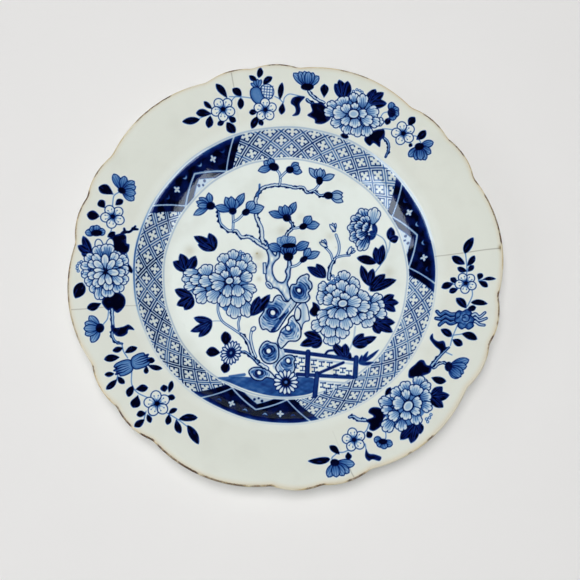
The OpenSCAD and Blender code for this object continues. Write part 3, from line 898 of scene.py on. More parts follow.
def paint_top_spray():
    """Flange, above: two plum blossoms, a fruit, a peony and two half-open flowers"""
    stems(0.6, (
        [(-46.6, 83.4), (-43, 85), (-40, 86.4)], [(-30.6, 95.4), (-26, 95.4), (-22, 95.2), (-18, 94.6)],
        [(-30, 91), (-28.8, 94), (-27, 95.6)],
        [(-6, 95.8), (-3.4, 94.4), (-1.4, 92.6), (-0.8, 95), (1.6, 97), (5, 96.6), (9.6, 95.4)],
        [(51, 83.6), (52.6, 86), (56, 86.8)], [(52, 77.6), (55, 77.4), (58, 76.8)],
        [(66, 73), (70, 73), (72.4, 69.6)],
    ))
    leaves((
        (-46.4, 82.8, -56, 81.2, 4.0, 1.0), (-40.8, 85, -41.8, 78.2, 4.2, 1.2),
        (-39.8, 85.8, -48.6, 86.2, 4.4, 1.5), (-39.8, 88.6, -44.4, 92.6, 2.8, 1.2),
        (-31.6, 94.4, -38, 102.4, 3.8, 1.3), (-24, 95.8, -29, 99.8, 4.2, 1.1),
        (-24.4, 95, -24.6, 88.6, 3.6, 1.0), (-33, 82.8, -37, 80, 3.0, 1.3),
        (-31.2, 84.4, -27, 82, 3.4, 1.3), (-32, 81.8, -27.4, 76, 5.0, 1.2),
        (-14.8, 105.6, -13.8, 111.8, 3.4, 1.0), (-15.6, 104, -20, 107, 3.0, 1.0),
        (-12.4, 102.4, -7.4, 106.4, 3.6, 1.1), (-15.4, 87.4, -20, 87, 3.2, 1.2),
        (-14.4, 85.4, -18.6, 78.4, 3.8, 1.2), (-14, 84, -12.8, 80, 2.8, 1.4),
        (-3.2, 94, -2, 103.4, 3.2, 1.1), (-1.6, 92.6, -2.4, 86, 3.6, 1.4),
        (20.6, 94.8, 20.8, 102.4, 4.6, 1.5), (34, 73.4, 29.4, 75, 2.8, 1.0),
        (54.2, 79.6, 55.4, 83.4, 3.4, 1.0), (66, 79, 69.4, 83.6, 4.2, 1.1), (70, 71, 75.2, 76, 4.2, 1.2),
        (67.4, 69.4, 66.4, 67.2, 2.2, 1.0),
    ))
    plum(-34, 88.6, 55, 4.3)
    # A fruit with a scaled half, a plain half and a crown
    for turn in (150, 120, 95, 70):
        far = 4.6 * np.exp(1j * math.radians(turn))
        ink.fill(blade((-15, 100.4), (-15 + far.real, 100.4 + far.imag), 1.8, 1.4), 0.5, 0.45, 0.96)
    ink.fill(oval(-10.4, 98.2, 3.9, 4.2), 0.06, 0.5, 0.94)
    for k in range(-2, 3):
        ink.stroke([(-13.4, 98.4 + 1.5 * k), (-7.4, 97.8 + 1.5 * k)], 0.36, 0.86)
        ink.stroke([(-10.6 + 1.5 * k, 95), (-10 + 1.5 * k, 101.4)], 0.36, 0.86)
    plain = [
        (-18.8, 99.6), (-16, 100.8), (-13.8, 99.6), (-12.4, 96), (-9.6, 93.6), (-10, 91.4), (-13.6, 90.8),
        (-17.4, 93), (-19.2, 96.4),
    ]
    patch(plain, lambda x, y, deep: 0.64 - 0.14 * unit(deep / 1.6), 0.6, 0.97)
    plum(-11.2, 88.6, 20, 4.1)
    dark_shape([
        (10.4, 95.4), (7, 96), (3.6, 95), (2.6, 92.2), (4.8, 90.2), (5.2, 87.4), (3.4, 85.4), (6.8, 85.8),
        (8, 88.6), (7.6, 92),
    ])
    branch([(11.4, 94), (13, 92.6), (15, 92)], (1.6, 1.2), 0.4)
    branch([(12.4, 98.4), (15.4, 95), (20.6, 92.2)], (1.7, 1.6), 0.12)
    half_open((11.6, 100.8), [
        (4.2, 108.4), (17.8, 106.6), (7.2, 109.2), (14.8, 108.6), (10, 109.4), (12.4, 109.2),
    ], 3.6, 0.54, (3.6, 1.9, 0))
    lobed_leaf((31, 94), [(26.4, 102.6), (28.8, 104.8), (33.6, 104)], 5.4)
    dark_shape([
        (13.6, 91.8), (20.4, 91.4), (24.4, 84.6), (20.4, 81), (16, 81.2), (15.4, 83.4), (11.6, 85.6),
        (14.2, 88),
    ])
    lobed_leaf((44, 90.6), [(48.6, 99.4), (53, 97.4), (54.6, 91.2)], 5.4)
    dark_shape([
        (46.4, 76.4), (52.6, 77.4), (53.2, 73.4), (51.2, 71.4), (50.6, 67.8), (47.4, 70), (45, 68.6),
        (42.2, 72.4),
    ])
    branch([(53, 72.4), (55, 70), (55.2, 66.4), (53.6, 62.4)], (1.6, 1.2), 0.45)
    ink.fill(oval(37, 85, 12, 9.4, -8), 0.5)
    petals(0.38, 3, (
        (37, 92, 36.4, 97.6, 5.4), (41.6, 89, 41.4, 96.8, 6.8), (31.6, 90, 29.4, 95.2, 9),
        (28, 89, 22.4, 92.2, 5.4), (27, 86, 20.6, 88.6, 6.4), (43, 86.4, 50.2, 87, 8),
        (31, 82.6, 24.2, 81, 6.4), (34.6, 81, 32, 75.2, 7), (39, 81, 38.6, 73.6, 8.4),
        (43.4, 80, 44, 73.4, 6.8), (47.6, 82, 52.8, 81, 5), (44.6, 83, 50.6, 79.8, 6.4),
    ))
    petals(0.31, 3, (
        (40.6, 84, 46.8, 81, 7), (37.4, 84, 37.2, 78.2, 7), (34.6, 84, 29.8, 81, 6),
        (32.6, 86, 25.4, 87.6, 8.4), (33.6, 86.4, 31.4, 91.6, 6), (37.4, 88, 37.2, 92.2, 4.6),
        (38.4, 86.6, 44, 85.6, 5.4),
    ))
    heart(36.6, 86, 3.0, 2.5, -5)
    stamens((38.4, 99), (40, 98.4), (41.2, 97.6), (36.6, 98.2))
    half_open((57, 86.2), [(57, 91.8), (60.6, 88.6), (60.8, 84.8), (58, 82)], 3.4, 0.6, (2.2, 2.6, 0))
    plum(63.2, 74.8, 30, 4.2)
    half_open((71.6, 67.4), [
        (79, 69.4), (66, 62.2), (77.6, 63.4), (69.8, 60.2), (74.8, 60), (72.4, 60),
    ], 3.6, 0.58, (2.5, 2.0, 0))


def paint_left_spray():
    """Flange, left: half-open flowers, two plum blossoms, a peony and a double fruit"""
    stems(0.65, (
        [(-89, 42), (-91.4, 40), (-92, 36), (-92, 33)], [(-92.6, 23.6), (-92.4, 21.6), (-93.6, 19)],
        [(-84.4, 9.4), (-83.4, 6.4), (-83.2, 3.6)], [(-92.6, -21.8), (-93, -26), (-95, -29)],
        [(-85.2, -39), (-84.2, -43), (-82, -46.4)],
        [(-79.6, -53), (-79.4, -60), (-76.4, -64.4), (-70.6, -67.2)],
        [(-61, -74.8), (-55.6, -78), (-50.6, -81.6)], [(-86.6, -55.6), (-87.2, -58)],
        [(-71.6, -74), (-72.6, -78.6)],
    ))
    leaves((
        (-91.6, 40.6, -99.6, 44.6, 5.6, 1.5), (-96.2, 33.2, -98.8, 37.6, 4.4, 1.3),
        (-90.6, 35, -86.6, 38, 3.6, 1.2), (-98.6, 28.6, -105.4, 29.6, 5.4, 1.2),
        (-94.4, 17.6, -90.4, 20.6, 3.2, 1.1), (-83.4, 4.2, -81.2, -1.4, 2.4, 1.5),
        (-106.4, -7, -109.8, -15.6, 6.4, 0.9), (-96.4, -17.8, -103.6, -20.8, 4.4, 1.4),
        (-84.6, -41.2, -89.8, -43, 3.2, 1.1), (-83.4, -43.8, -77.2, -40.8, 3.4, 1.1),
        (-86, -46.2, -94, -47.4, 4.0, 1.2), (-72.4, -47, -68, -47.8, 3.2, 1.2),
        (-71.8, -50, -64, -51.8, 2.8, 1.2), (-72.2, -50.4, -72.4, -54.8, 2.6, 1.4),
        (-88.4, -54.8, -93.4, -55.4, 2.8, 1.1), (-86.8, -57.6, -92.4, -63, 3.2, 1.2),
        (-86.6, -56.2, -83, -60, 3.0, 1.2), (-78.6, -60.8, -81, -66.8, 3.8, 1.2),
        (-77.4, -62.8, -71, -61.8, 4.0, 1.3), (-76, -65.6, -78.2, -72.4, 5.2, 1.6),
        (-62.4, -64, -63.4, -60.2, 3.8, 1.1), (-60.4, -64.4, -59, -58, 2.8, 1.2),
        (-61.6, -66.4, -57, -67, 3.2, 1.3), (-71.6, -75, -76.4, -76, 3.4, 1.2),
        (-72.2, -78.2, -77.4, -82, 3.6, 1.2), (-71, -75.6, -69, -80, 2.8, 1.2),
        (-60.2, -75.2, -55.8, -72.6, 2.6, 1.1), (-60, -75.4, -60.6, -81, 3.2, 1.3),
        (-55, -78, -45.2, -77.2, 4.0, 1.1), (-56.2, -78, -53.8, -85.4, 3.6, 1.3),
        (-50.4, -81, -44.4, -90.8, 4.4, 1.0),
    ))
    half_open((-87.4, 43), [
        (-91.8, 51.8), (-81, 38), (-86, 50.8), (-81, 48.2), (-80.2, 45.4), (-80.2, 41.6),
    ], 3.7, 0.56, (2.2, 1.7, -20))
    plum(-91.8, 28.8, 45, 4.2)
    half_open((-100, 19.6), [
        (-105.8, 19.8), (-103, 23), (-100, 23.8), (-95.6, 20.8),
    ], 3.4, 0.56, (3.0, 1.8, 5))
    for twig in (
        [(-88, 18), (-86, 20.6), (-82.8, 21), (-80, 24)], [(-85.4, 20.6), (-85.8, 22.6)],
        [(-81.2, 22.6), (-78.8, 22.4)],
    ):
        stem(twig, (1.9, 1.1), 1.0)
    dark_shape([
        (-92.4, 17.6), (-88, 19.8), (-84.8, 18.8), (-84.4, 14.8), (-82.8, 14), (-83.6, 10), (-87.6, 8),
        (-91.6, 10.4), (-93, 14),
    ])
    lobed_leaf((-102.4, 8.4), [(-107, 18), (-109.6, 12.8), (-107.6, 8.4)], 4.4)
    dark_shape([
        (-96.2, -17.4), (-94, -13.4), (-89.6, -11), (-85, -13.6), (-84.2, -18.4), (-87.8, -22.8),
        (-91, -20.6), (-93, -21.6),
    ])
    ink.fill(oval(-95, 1, 9, 9.6), 0.42)
    petals(0.08, 1, ((-93.4, 8, -92.6, 17, 4.8), (-97.6, 8, -99.2, 16.4, 4.8)), 0.9)
    petals(0.45, 2, (
        (-97, 6, -99.8, 13, 7.4), (-90.6, 5.6, -89, 10.6, 6), (-94.2, 7, -94, 14.2, 7.8),
        (-100, 4, -105.6, 7.6, 6), (-101, 1, -107.8, 2.4, 5), (-101, -2, -107.4, -2.8, 5),
        (-99.6, -4.4, -105, -7.8, 6), (-97.6, -6, -101.2, -12.8, 6.6), (-97, -7, -97.6, -16.4, 6),
        (-93.4, -7, -93.2, -15, 7.6), (-89.8, -5.6, -87, -12, 6.8), (-88.6, -3, -83.2, -6.4, 6),
        (-88, 0.6, -82.6, 0, 5.6), (-88.4, 4, -83.8, 7.4, 6.2),
    ), 0.92)
    petals(0.32, 2, (
        (-98, 1.4, -104.2, 3.8, 5), (-98.2, -1.6, -104, -4.2, 5), (-96.2, -3, -100.4, -9.4, 5.6),
        (-93.6, -4, -93, -11.4, 5.8), (-91, -2.6, -86.4, -7.4, 5.6), (-90, 0, -84.6, -2, 5),
        (-90.6, 3, -85.8, 5, 5.2), (-97, 3, -101.6, 8.2, 5), (-92, 4, -89.4, 9.6, 5),
    ), 0.95)
    petals(0.26, 1, (
        (-95, 0.6, -95.4, 8.6, 4.6), (-96, 0.4, -101, 4.6, 4.4), (-94, 0, -90.4, 5.6, 4.2),
        (-95, -0.8, -101, -0.2, 3.2), (-95.4, -1.6, -101, -4.2, 3.8), (-95.2, -2.2, -97.6, -8.4, 4.2),
        (-94.2, -2, -92.2, -8, 4.2), (-94, -0.8, -87.8, -1.6, 4.4),
    ))
    ink.fill(oval(-94.7, -0.8, 0.9, 0.9), 0.97)
    stamens((-108.6, 3.2), (-109.4, 1.8), (-109.4, 0.4), (-108.8, -1), (-107.4, 4), (-106.6, -1.6))
    branch([
        (-91, -21), (-90.4, -26), (-90.2, -32), (-90.4, -35), (-88, -38.4), (-85, -39),
    ], (1.9, 1.0), 0.35)
    half_open((-96.6, -31), [
        (-102.2, -24.8), (-100.6, -38.6), (-104.4, -28.4), (-104, -34.6), (-104.8, -31.4),
    ], 3.6, 0.5, (2.2, 2.5, 0))
    dark_shape([
        (-91, -28), (-89, -30.6), (-85, -30), (-82, -28.8), (-79, -31.6), (-82, -31.6), (-82.6, -33.6),
        (-85, -35.2), (-88, -35), (-90.4, -32.4),
    ])
    # A double fruit with a ragged end on each half
    for mid, sign in (((-83.4, -51.6), -1), ((-75.8, -48), 1)):
        body = np.array([
            (-4.6, -0.6), (-3.4, -3.2), (0, -3.8), (3.2, -3.4), (4.8, -2.2), (3.8, -1.2), (5.6, -0.4),
            (4.2, 0.6), (5.4, 1.8), (3.6, 2.2), (3.2, 3.4), (0.4, 3.8), (-3.2, 2.8),
        ]) * sign
        swing = np.exp(1j * math.radians(21))
        place = (body[:, 0] + 1j * body[:, 1]) * swing
        shape = pairs(place) + mid
        patch(shape, lambda x, y, deep: 0.6 - 0.16 * unit(deep / 1.6), 0.55, 0.97)
        for side in (-2.0, -0.7, 0.7, 2.0):
            streak = np.array([complex(-2.6, 0.6 * side), complex(1.0, side), complex(4.2, 0.8 * side)])
            streak = streak * sign * swing
            ink.stroke(pairs(streak) + mid, (0.2, 0.9), 0.92)
    plum(-66.2, -70, 28, 4.4)


def paint_right_spray():
    """Flange, right: a plum blossom, a scrolled fruit, a peony and half-open flowers"""
    stems(0.65, (
        [(94.6, 9.4), (95, 5), (95.2, 0), (94.8, -3)], [(97.4, -10), (97.4, -14), (94.8, -19.4)],
        [(100.8, -6), (104, -5.4)], [(90, -7.6), (87.4, -7.4)],
        [(89.4, -29.4), (87.8, -32.8), (86.2, -36.8), (85.4, -40)], [(87, -34.6), (91.8, -34)],
        [(82.4, -43.2), (86, -45)], [(43, -79), (41.6, -83), (40, -85)],
        [(51, -84.4), (51, -87.4), (50, -89)], [(40.4, -90.6), (40.8, -93.4)],
        [(33.2, -93), (29, -94.8), (24.6, -94.4)], [(25.6, -95.6), (23.4, -97.6), (24.2, -99.2)],
    ))
    leaves((
        (94.2, 8.8, 99, 17.4, 4.4, 0.9), (94.2, 3, 87.6, 7.6, 4.2, 1.1), (95.4, 2, 99.4, 7.6, 3.2, 1.2),
        (95.2, -0.8, 90.2, 1.4, 3.0, 1.2), (95.6, -1, 98.8, 2.4, 2.8, 1.2),
        (89.8, -7, 86.6, -4, 3.0, 1.2), (88, -7, 81.8, -9.2, 3.8, 1.2),
        (90.4, -10, 85.6, -11.6, 3.2, 1.3), (100.8, -5.6, 102.8, -2, 3.2, 1.4),
        (103, -5.4, 110, -5.2, 2.0, 1.0), (100.8, -6.2, 105.6, -9.4, 3.2, 1.3),
        (94.4, -20.6, 89.2, -14.8, 4.2, 1.2), (96.6, -17.4, 105.2, -18.4, 3.2, 0.9),
        (94.6, -20.8, 99.2, -20, 3.2, 1.3), (86.4, -35.2, 80.8, -31.2, 3.8, 0.9),
        (91.4, -33.8, 99.2, -37, 4.2, 1.1), (86.6, -36.8, 91.6, -40, 4.0, 1.2),
        (75, -56.6, 82.6, -58.8, 4.0, 1.2), (51.2, -66, 54.2, -61.4, 2.8, 1.2),
        (41.6, -84, 43.4, -87.6, 3.4, 1.3), (31.6, -94.6, 32, -98.6, 3.4, 1.3),
        (27.4, -96, 22.2, -91.4, 3.4, 1.3), (22.6, -98.2, 11, -99.2, 3.6, 0.75),
    ))
    plum(94.4, -7, 45, 3.7)
    # A scrolled fruit: ropes of wash with a round middle
    def fruit(x, y, deep):
        return 0.72 - 0.2 * unit(deep / 2.4) + 0.14 * mottle(x, y, 1.0)

    for lift, end in ((2.4, (79.2, -21.8)), (0.2, (78.6, -25.4)), (-2.2, (80.2, -29))):
        rope = smooth([
            (89.4, -25.4 + 0.7 * lift), (86, -26 + lift), (83.4, -24.6 + lift), (81, -26 + lift), end,
        ])
        ink.stroke(rope, (2.7, 2.0), 0.97)
        ink.stroke(rope, (1.5, 0.8), 0.42, lay=True)
        ink.stroke(rope - 0.2, (0.9, 0.3), 0.7)
    for lift, end in ((1.4, (103.6, -23)), (-0.6, (104.2, -26)), (-2.6, (103, -29.6))):
        rope = smooth([(96, -26 + 0.6 * lift), (98.6, -25 + lift), (100.6, -26.6 + lift), end])
        ink.stroke(rope, (2.1, 1.5), 0.95)
        ink.stroke(rope, (1.1, 0.5), 0.2, lay=True)
    patch([
        (88.4, -25.4), (88.8, -23), (90.4, -21.6), (92.2, -22.2), (94.4, -21.2), (96.6, -22.6),
        (96.4, -24.4), (98, -26.2), (97.2, -28.4), (97.4, -30), (95, -31.6), (93.2, -30.6), (91.4, -31.4),
        (89.6, -29.8), (89.8, -28.2), (88.2, -27.4),
    ], fruit, 0.6, 0.98)
    stem([
        (92, -24.6), (94, -23.6), (95.6, -25.4), (94.6, -27.4), (92.2, -27), (92, -25.4), (93.6, -25.2),
    ], 0.55, 0.97)
    for curl in (
        [(89.2, -25.6), (90.8, -24.6), (91, -22.8)], [(96.2, -24.6), (95.2, -24)],
        [(97.4, -28.2), (95.4, -28), (94, -29.4), (93.4, -30.4)],
        [(89.8, -28.2), (91.4, -28.2), (92.4, -29.2)],
    ):
        stem(curl, (0.7, 0.4), 0.95)
    dark_shape([
        (75, -36), (76.6, -33.4), (77, -36), (79.2, -37.6), (82, -37.4), (83, -40), (82.2, -44),
        (79.6, -45.6), (80, -42.6), (77.4, -40),
    ])
    branch([(84.6, -41), (81.6, -43.6), (77.4, -48), (75.4, -50.6)], (1.1, 2.0), 0.4)
    branch([(83, -49.4), (79.6, -49.2), (76.4, -51.6)], (1.3, 1.5), 0.12)
    half_open((84, -51), [
        (94.4, -47.6), (88.6, -57.2), (93.2, -51), (91.4, -54.6), (90, -56.4),
    ], 4.0, 0.6, (1.9, 2.6, -10))
    dark_shape([
        (63.6, -56.4), (64, -52.4), (67, -49.6), (69.4, -47.4), (71.6, -47.6), (73, -50), (75.4, -50.6),
        (74.6, -54), (71, -55.6), (67, -56.6),
    ])
    lobed_leaf((74.4, -66.6), [(80.6, -61.4), (84, -65.8), (80.6, -72.2)], 5.0)
    dark_shape([
        (52, -75), (48, -72), (44, -72), (42.4, -74.4), (45, -76.6), (40.6, -78.6), (43, -80.4),
        (42.6, -83), (45, -84), (48.6, -81.6), (50, -78),
    ])
    branch([(40.6, -78.4), (37, -78), (34.6, -76.6), (32.6, -76.8)], (2.0, 1.4), 0.3)
    lobed_leaf((66.4, -79.6), [(58.2, -88.6), (63.6, -90.4), (68.8, -85.6)], 5.6)
    ink.fill(oval(62, -71, 12.4, 9.4, 42), 0.5)
    petals(0.4, 3, (
        (68, -62, 70.4, -55.8, 8.4), (69, -62.4, 74.6, -60, 5.6), (63, -64, 60, -58.8, 7.4),
        (59, -66, 54.4, -62.8, 6.8), (55, -70, 47.8, -68.4, 6.4), (55, -73, 48.8, -73.4, 5.4),
        (69, -67, 74.8, -66, 8.4), (69, -70, 74.8, -73, 6.4), (66, -74.4, 67, -81.2, 6.6),
        (59.6, -78, 58.6, -84.2, 6.6), (55, -78, 49.8, -84, 7.4),
    ))
    petals(0.31, 3, (
        (66, -66, 68, -60.2, 8), (62.6, -68, 61.4, -62.4, 5), (61, -70, 54.8, -69.4, 8),
        (64.6, -70, 70, -69.4, 7.4), (58, -74.4, 52.8, -78, 6.4), (62, -73.4, 61, -78.6, 6.6),
        (63.6, -72.4, 68.8, -75.2, 5),
    ))
    heart(62.8, -71.3, 2.5, 3.1, -35)
    stamens((71.8, -78), (73.4, -77.4), (74.2, -75.8), (72.4, -79.4))
    half_open((49.4, -89.4), [
        (45, -88), (46.6, -91.6), (54.2, -91), (50.6, -93),
    ], 3.2, 0.56, (2.3, 1.5, 0))
    plum(34.8, -88.4, 30, 4.0)
    dark_shape([
        (40.8, -93), (42.2, -95.4), (45, -95.8), (48.4, -97.2), (47.4, -99.2), (44, -98.4), (42, -99.2),
        (40.2, -97),
    ])
    half_open((24.8, -100), [
        (34.8, -100.8), (21.4, -107.2), (32, -105), (29.4, -106.4), (25.6, -107.2),
    ], 3.8, 0.54, (2.3, 1.9, 0))


paint_border()
paint_fence()
paint_tree()
paint_rocks()
paint_left_peony()
paint_right_peony()
paint_small_flowers()
paint_top_spray()
paint_left_spray()
paint_right_spray()

# The cobalt bleeds a little into the glaze: a sharp line and a faint wide one
SHARP_EDGE = 0.09
WIDE_EDGE = 0.5
WIDE_SHARE = 0.06
cobalt = (1 - WIDE_SHARE) * ink.blurred(SHARP_EDGE) + WIDE_SHARE * ink.blurred(WIDE_EDGE)

# Marks of age: brown stains, each one [x, y, size, strength], and fine cracks from the lip
CRACK_EDGE = 0.12
stains = Layer()
for x, y, size, strength in (
    (-15.6, 12, 0.8, 0.85), (-14.8, 11, 2.8, 0.42), (-14.4, 6, 2.2, 0.16), (-14.4, -2, 1.5, 0.24),
    (-52, 13.4, 3.0, 0.3), (-2, 24.6, 3.0, 0.24), (24, 21.6, 2.4, 0.2), (19, 18, 1.4, 0.22),
    (8, 32.4, 2.2, 0.16), (55.4, 2, 3.2, 0.24), (13.4, -50.6, 1.8, 0.3), (25.4, -51.4, 2.0, 0.28),
    (-47, -45, 5.0, 0.1), (-52, -38, 6.0, 0.08), (27, 15.4, 0.6, 0.2), (113.2, 11.6, 1.3, 1.0),
    (-113, -21.4, 1.0, 0.5),
):
    part, px, py = stains.window([(x, y)], 3 * size)
    np.maximum(part, strength * np.exp(-((px - x) ** 2 + (py - y) ** 2) / size ** 2), out=part)
cracks = Layer()
for points, width, tone in (
    ([(112.6, 11.2), (104, 10.4), (94, 9.2), (86, 8.4), (79, 7.8)], (0.42, 0.26), 0.68),
    ([(-113.4, -21.6), (-104, -21), (-96, -20), (-86, -19), (-78, -18.6)], (0.4, 0.26), 0.55),
    ([(-29.6, 108.6), (-28.8, 104), (-28, 100)], (0.4, 0.34), 0.6),
    ([(-28, 100), (-27, 92), (-25, 80)], (0.24, 0.16), 0.2),
    ([(34.6, -107.6), (33, -104.6), (32.4, -103)], (0.4, 0.34), 0.6),
    ([(32.4, -103), (28, -94), (24, -84)], (0.24, 0.16), 0.2),
):
    cracks.stroke(smooth(points), width, tone)

# Stretches of the lip where the brown is thick, each one [first angle, last angle, how dark]
LIP_WEAR = (
    (7, 21, 0.8), (24, 28, 0.7), (33, 39, 0.85), (43, 49, 0.8), (67, 75, 0.6), (87, 95, 0.85),
    (102, 107, 0.75), (123, 135, 0.8), (150, 154, 0.7), (158, 166, 0.8), (167, 172, 0.6),
    (173, 189, 0.55), (189, 200, 0.45), (207, 209, 0.9), (219, 226, 0.75), (229, 233, 1.0),
    (234, 241, 0.8), (241, 247, 1.0), (248, 260, 0.7), (261, 267, 0.75), (275, 280, 0.8), (286, 291, 0.8),
    (303, 304, 0.7), (309, 311, 0.7), (338, 342, 0.7), (345, 346, 0.6), (347, 354, 0.8),
)
# Stretches where the lip is pale, each one [first angle, last angle]: bare lip, and those from 267 to 366
# degrees also painted light on the lip's south-east side, where light from the front falls
PALE_AND_LIT_LIP = ((96, 101), (108, 120), (200, 207), (267, 274), (291, 303), (311, 337), (354, 366))


# Meshes of the scene
def add_mesh(name, points, faces):
    """A mesh object, smooth all over, from points in millimetres and arrays of faces"""
    mesh = bpy.data.meshes.new(name)
    mesh.vertices.add(len(points))
    mesh.vertices.foreach_set("co", (np.asarray(points) * MM).astype(np.float32).ravel())
    corner_ids = np.concatenate([group.ravel() for group in faces]).astype(np.int32)
    sizes = np.concatenate([np.full(len(group), group.shape[1]) for group in faces])
    starts = np.concatenate([[0], np.cumsum(sizes)[:-1]]).astype(np.int32)
    mesh.loops.add(len(corner_ids))
    mesh.loops.foreach_set("vertex_index", corner_ids)
    mesh.polygons.add(len(sizes))
    mesh.polygons.foreach_set("loop_start", starts)
    mesh.update(calc_edges=True)
    mesh.polygons.foreach_set("use_smooth", np.ones(len(sizes), bool))
    piece = bpy.data.objects.new(name, mesh)
    bpy.context.scene.collection.objects.link(piece)
    return piece


def add_values(piece, name, values):
    """A number for each point of a mesh, which its material reads"""
    data = piece.data.attributes.new(name, "FLOAT", "POINT")
    data.data.foreach_set("value", np.ascontiguousarray(values, np.float32))


def sampled(depth, x, y):
    """A paint layer's depth at some places, between its cells"""
    col = np.clip((x + HALF) / CELL - 0.5, 0, LAST_CELL)
    row = np.clip((y + HALF) / CELL - 0.5, 0, LAST_CELL)
    i = row.astype(int)
    j = col.astype(int)
    up = row - i
    over = col - j
    low = depth[i, j] * (1 - over) + depth[i, j + 1] * over
    high = depth[i + 1, j] * (1 - over) + depth[i + 1, j + 1] * over
    return low * (1 - up) + high * up


# The face's mesh, its wear and its chart
FACE_CELLS = 900
FACE_MIDDLE = 112.0
BEND_FROM = 0.74
FACE_WAVE = 0.02
WARM_FROM = 76
WARM_OVER = 10
WEAR_WIDTH = 2.4
CHART_MARGIN = 2
CORNER_SHARE = 0.06
CORNER_PLACE = 0.005
LAST_CELL = SIDE - 1.001
UNDER_RINGS = (104.0, 96.0, 84.0, 81.0, 79.0, 76.0, 70.0, 66.0, 63.0, 60.0, 40.0, 20.0, 4.0)


def painted_face():
    """The glazed face as one closed skin: a fine grid on top, rings underneath"""
    n = FACE_CELLS
    steps = np.linspace(-1, 1, n + 1)
    a, b = np.meshgrid(steps, steps)
    wide = np.abs(a) > np.abs(b)
    far = np.where(wide, a, b)
    safe = np.where(far == 0, 1, far)
    turn = np.where(wide, np.pi / 4 * b / safe, np.pi / 2 - np.pi / 4 * a / safe)
    place = far * np.exp(1j * turn)
    share = np.abs(far)
    turn = np.angle(place)
    ease = unit((share - BEND_FROM) / (1 - BEND_FROM))
    ease = ease * ease * (3 - 2 * ease)
    radius = share * FACE_MIDDLE + (lip_reach(turn) - FACE_MIDDLE) * ease
    x = (radius * np.cos(turn)).ravel()
    y = (radius * np.sin(turn)).ravel()
    wave = np.sin(0.21 * x + 0.5 * np.sin(0.13 * y)) + np.sin(0.24 * y + 1 + 0.6 * np.sin(0.11 * x))
    z = face_height(radius).ravel() + FACE_WAVE * wave * (1 - ease.ravel())
    top = np.stack([x, y, z], 1)
    ids = np.arange((n + 1) ** 2).reshape(n + 1, n + 1)
    quads = np.stack([ids[:-1, :-1], ids[:-1, 1:], ids[1:, 1:], ids[1:, :-1]], -1).reshape(-1, 4)
    rim = np.concatenate([ids[0, :-1], ids[:-1, -1], ids[-1, :0:-1], ids[:0:-1, 0]])
    loops = [rim]
    points = [top]
    made = len(top)
    rim_turn = np.arctan2(y[rim], x[rim])
    for ring in (None,) + UNDER_RINGS:
        r = np.hypot(x[rim], y[rim]) if ring is None else np.full(len(rim), ring)
        low = face_height(r) - GLAZE
        points.append(np.stack([r * np.cos(rim_turn), r * np.sin(rim_turn), low], 1))
        loops.append(np.arange(made, made + len(rim)))
        made += len(rim)
    skirt = [
        np.stack([lower, np.roll(lower, -1), np.roll(upper, -1), upper], 1)
        for upper, lower in zip(loops, loops[1:])
    ]
    cap = loops[-1][::-1][None, :]
    piece = add_mesh("painted_face", np.concatenate(points), [quads] + skirt + [cap])
    under = np.zeros(made - len(top))
    add_values(piece, "cobalt", np.concatenate([sampled(cobalt, x, y), under]))
    add_values(piece, "stain", np.concatenate([sampled(stains.depth, x, y), under]))
    add_values(piece, "crack", np.concatenate([sampled(cracks.blurred(CRACK_EDGE), x, y), under]))
    whole = np.concatenate(points)
    reach = np.hypot(whole[:, 0], whole[:, 1])
    side = np.arctan2(whole[:, 1], whole[:, 0])
    # The glaze is laid darker and yellower towards the rim
    add_values(piece, "warm", unit((reach - WARM_FROM) / WARM_OVER))
    rubbed = unit(1 - (lip_reach(side) - reach) / WEAR_WIDTH) ** 1.5
    add_values(piece, "worn", rubbed * (0.36 - 0.1 * np.sin(side - 0.4)))
    # A chart from above, with the underside small in one corner
    flat = whole[:, :2] / (2 * PLATE_RADIUS + CHART_MARGIN) + 0.5
    flat[len(top):] = CORNER_PLACE + CORNER_SHARE * flat[len(top):]
    chart = piece.data.uv_layers.new(name="OFBake")
    corner_ids = np.empty(len(piece.data.loops), np.int32)
    piece.data.loops.foreach_get("vertex_index", corner_ids)
    chart.data.foreach_set("uv", flat[corner_ids].astype(np.float32).ravel())
    return piece


# The lip's mesh, and how softly its stretches begin and end, in degrees
LIP_SIDES = 12
DARK_FADE = 0.8
PALE_FADE = 2
LIP_RUBBED = 0.5


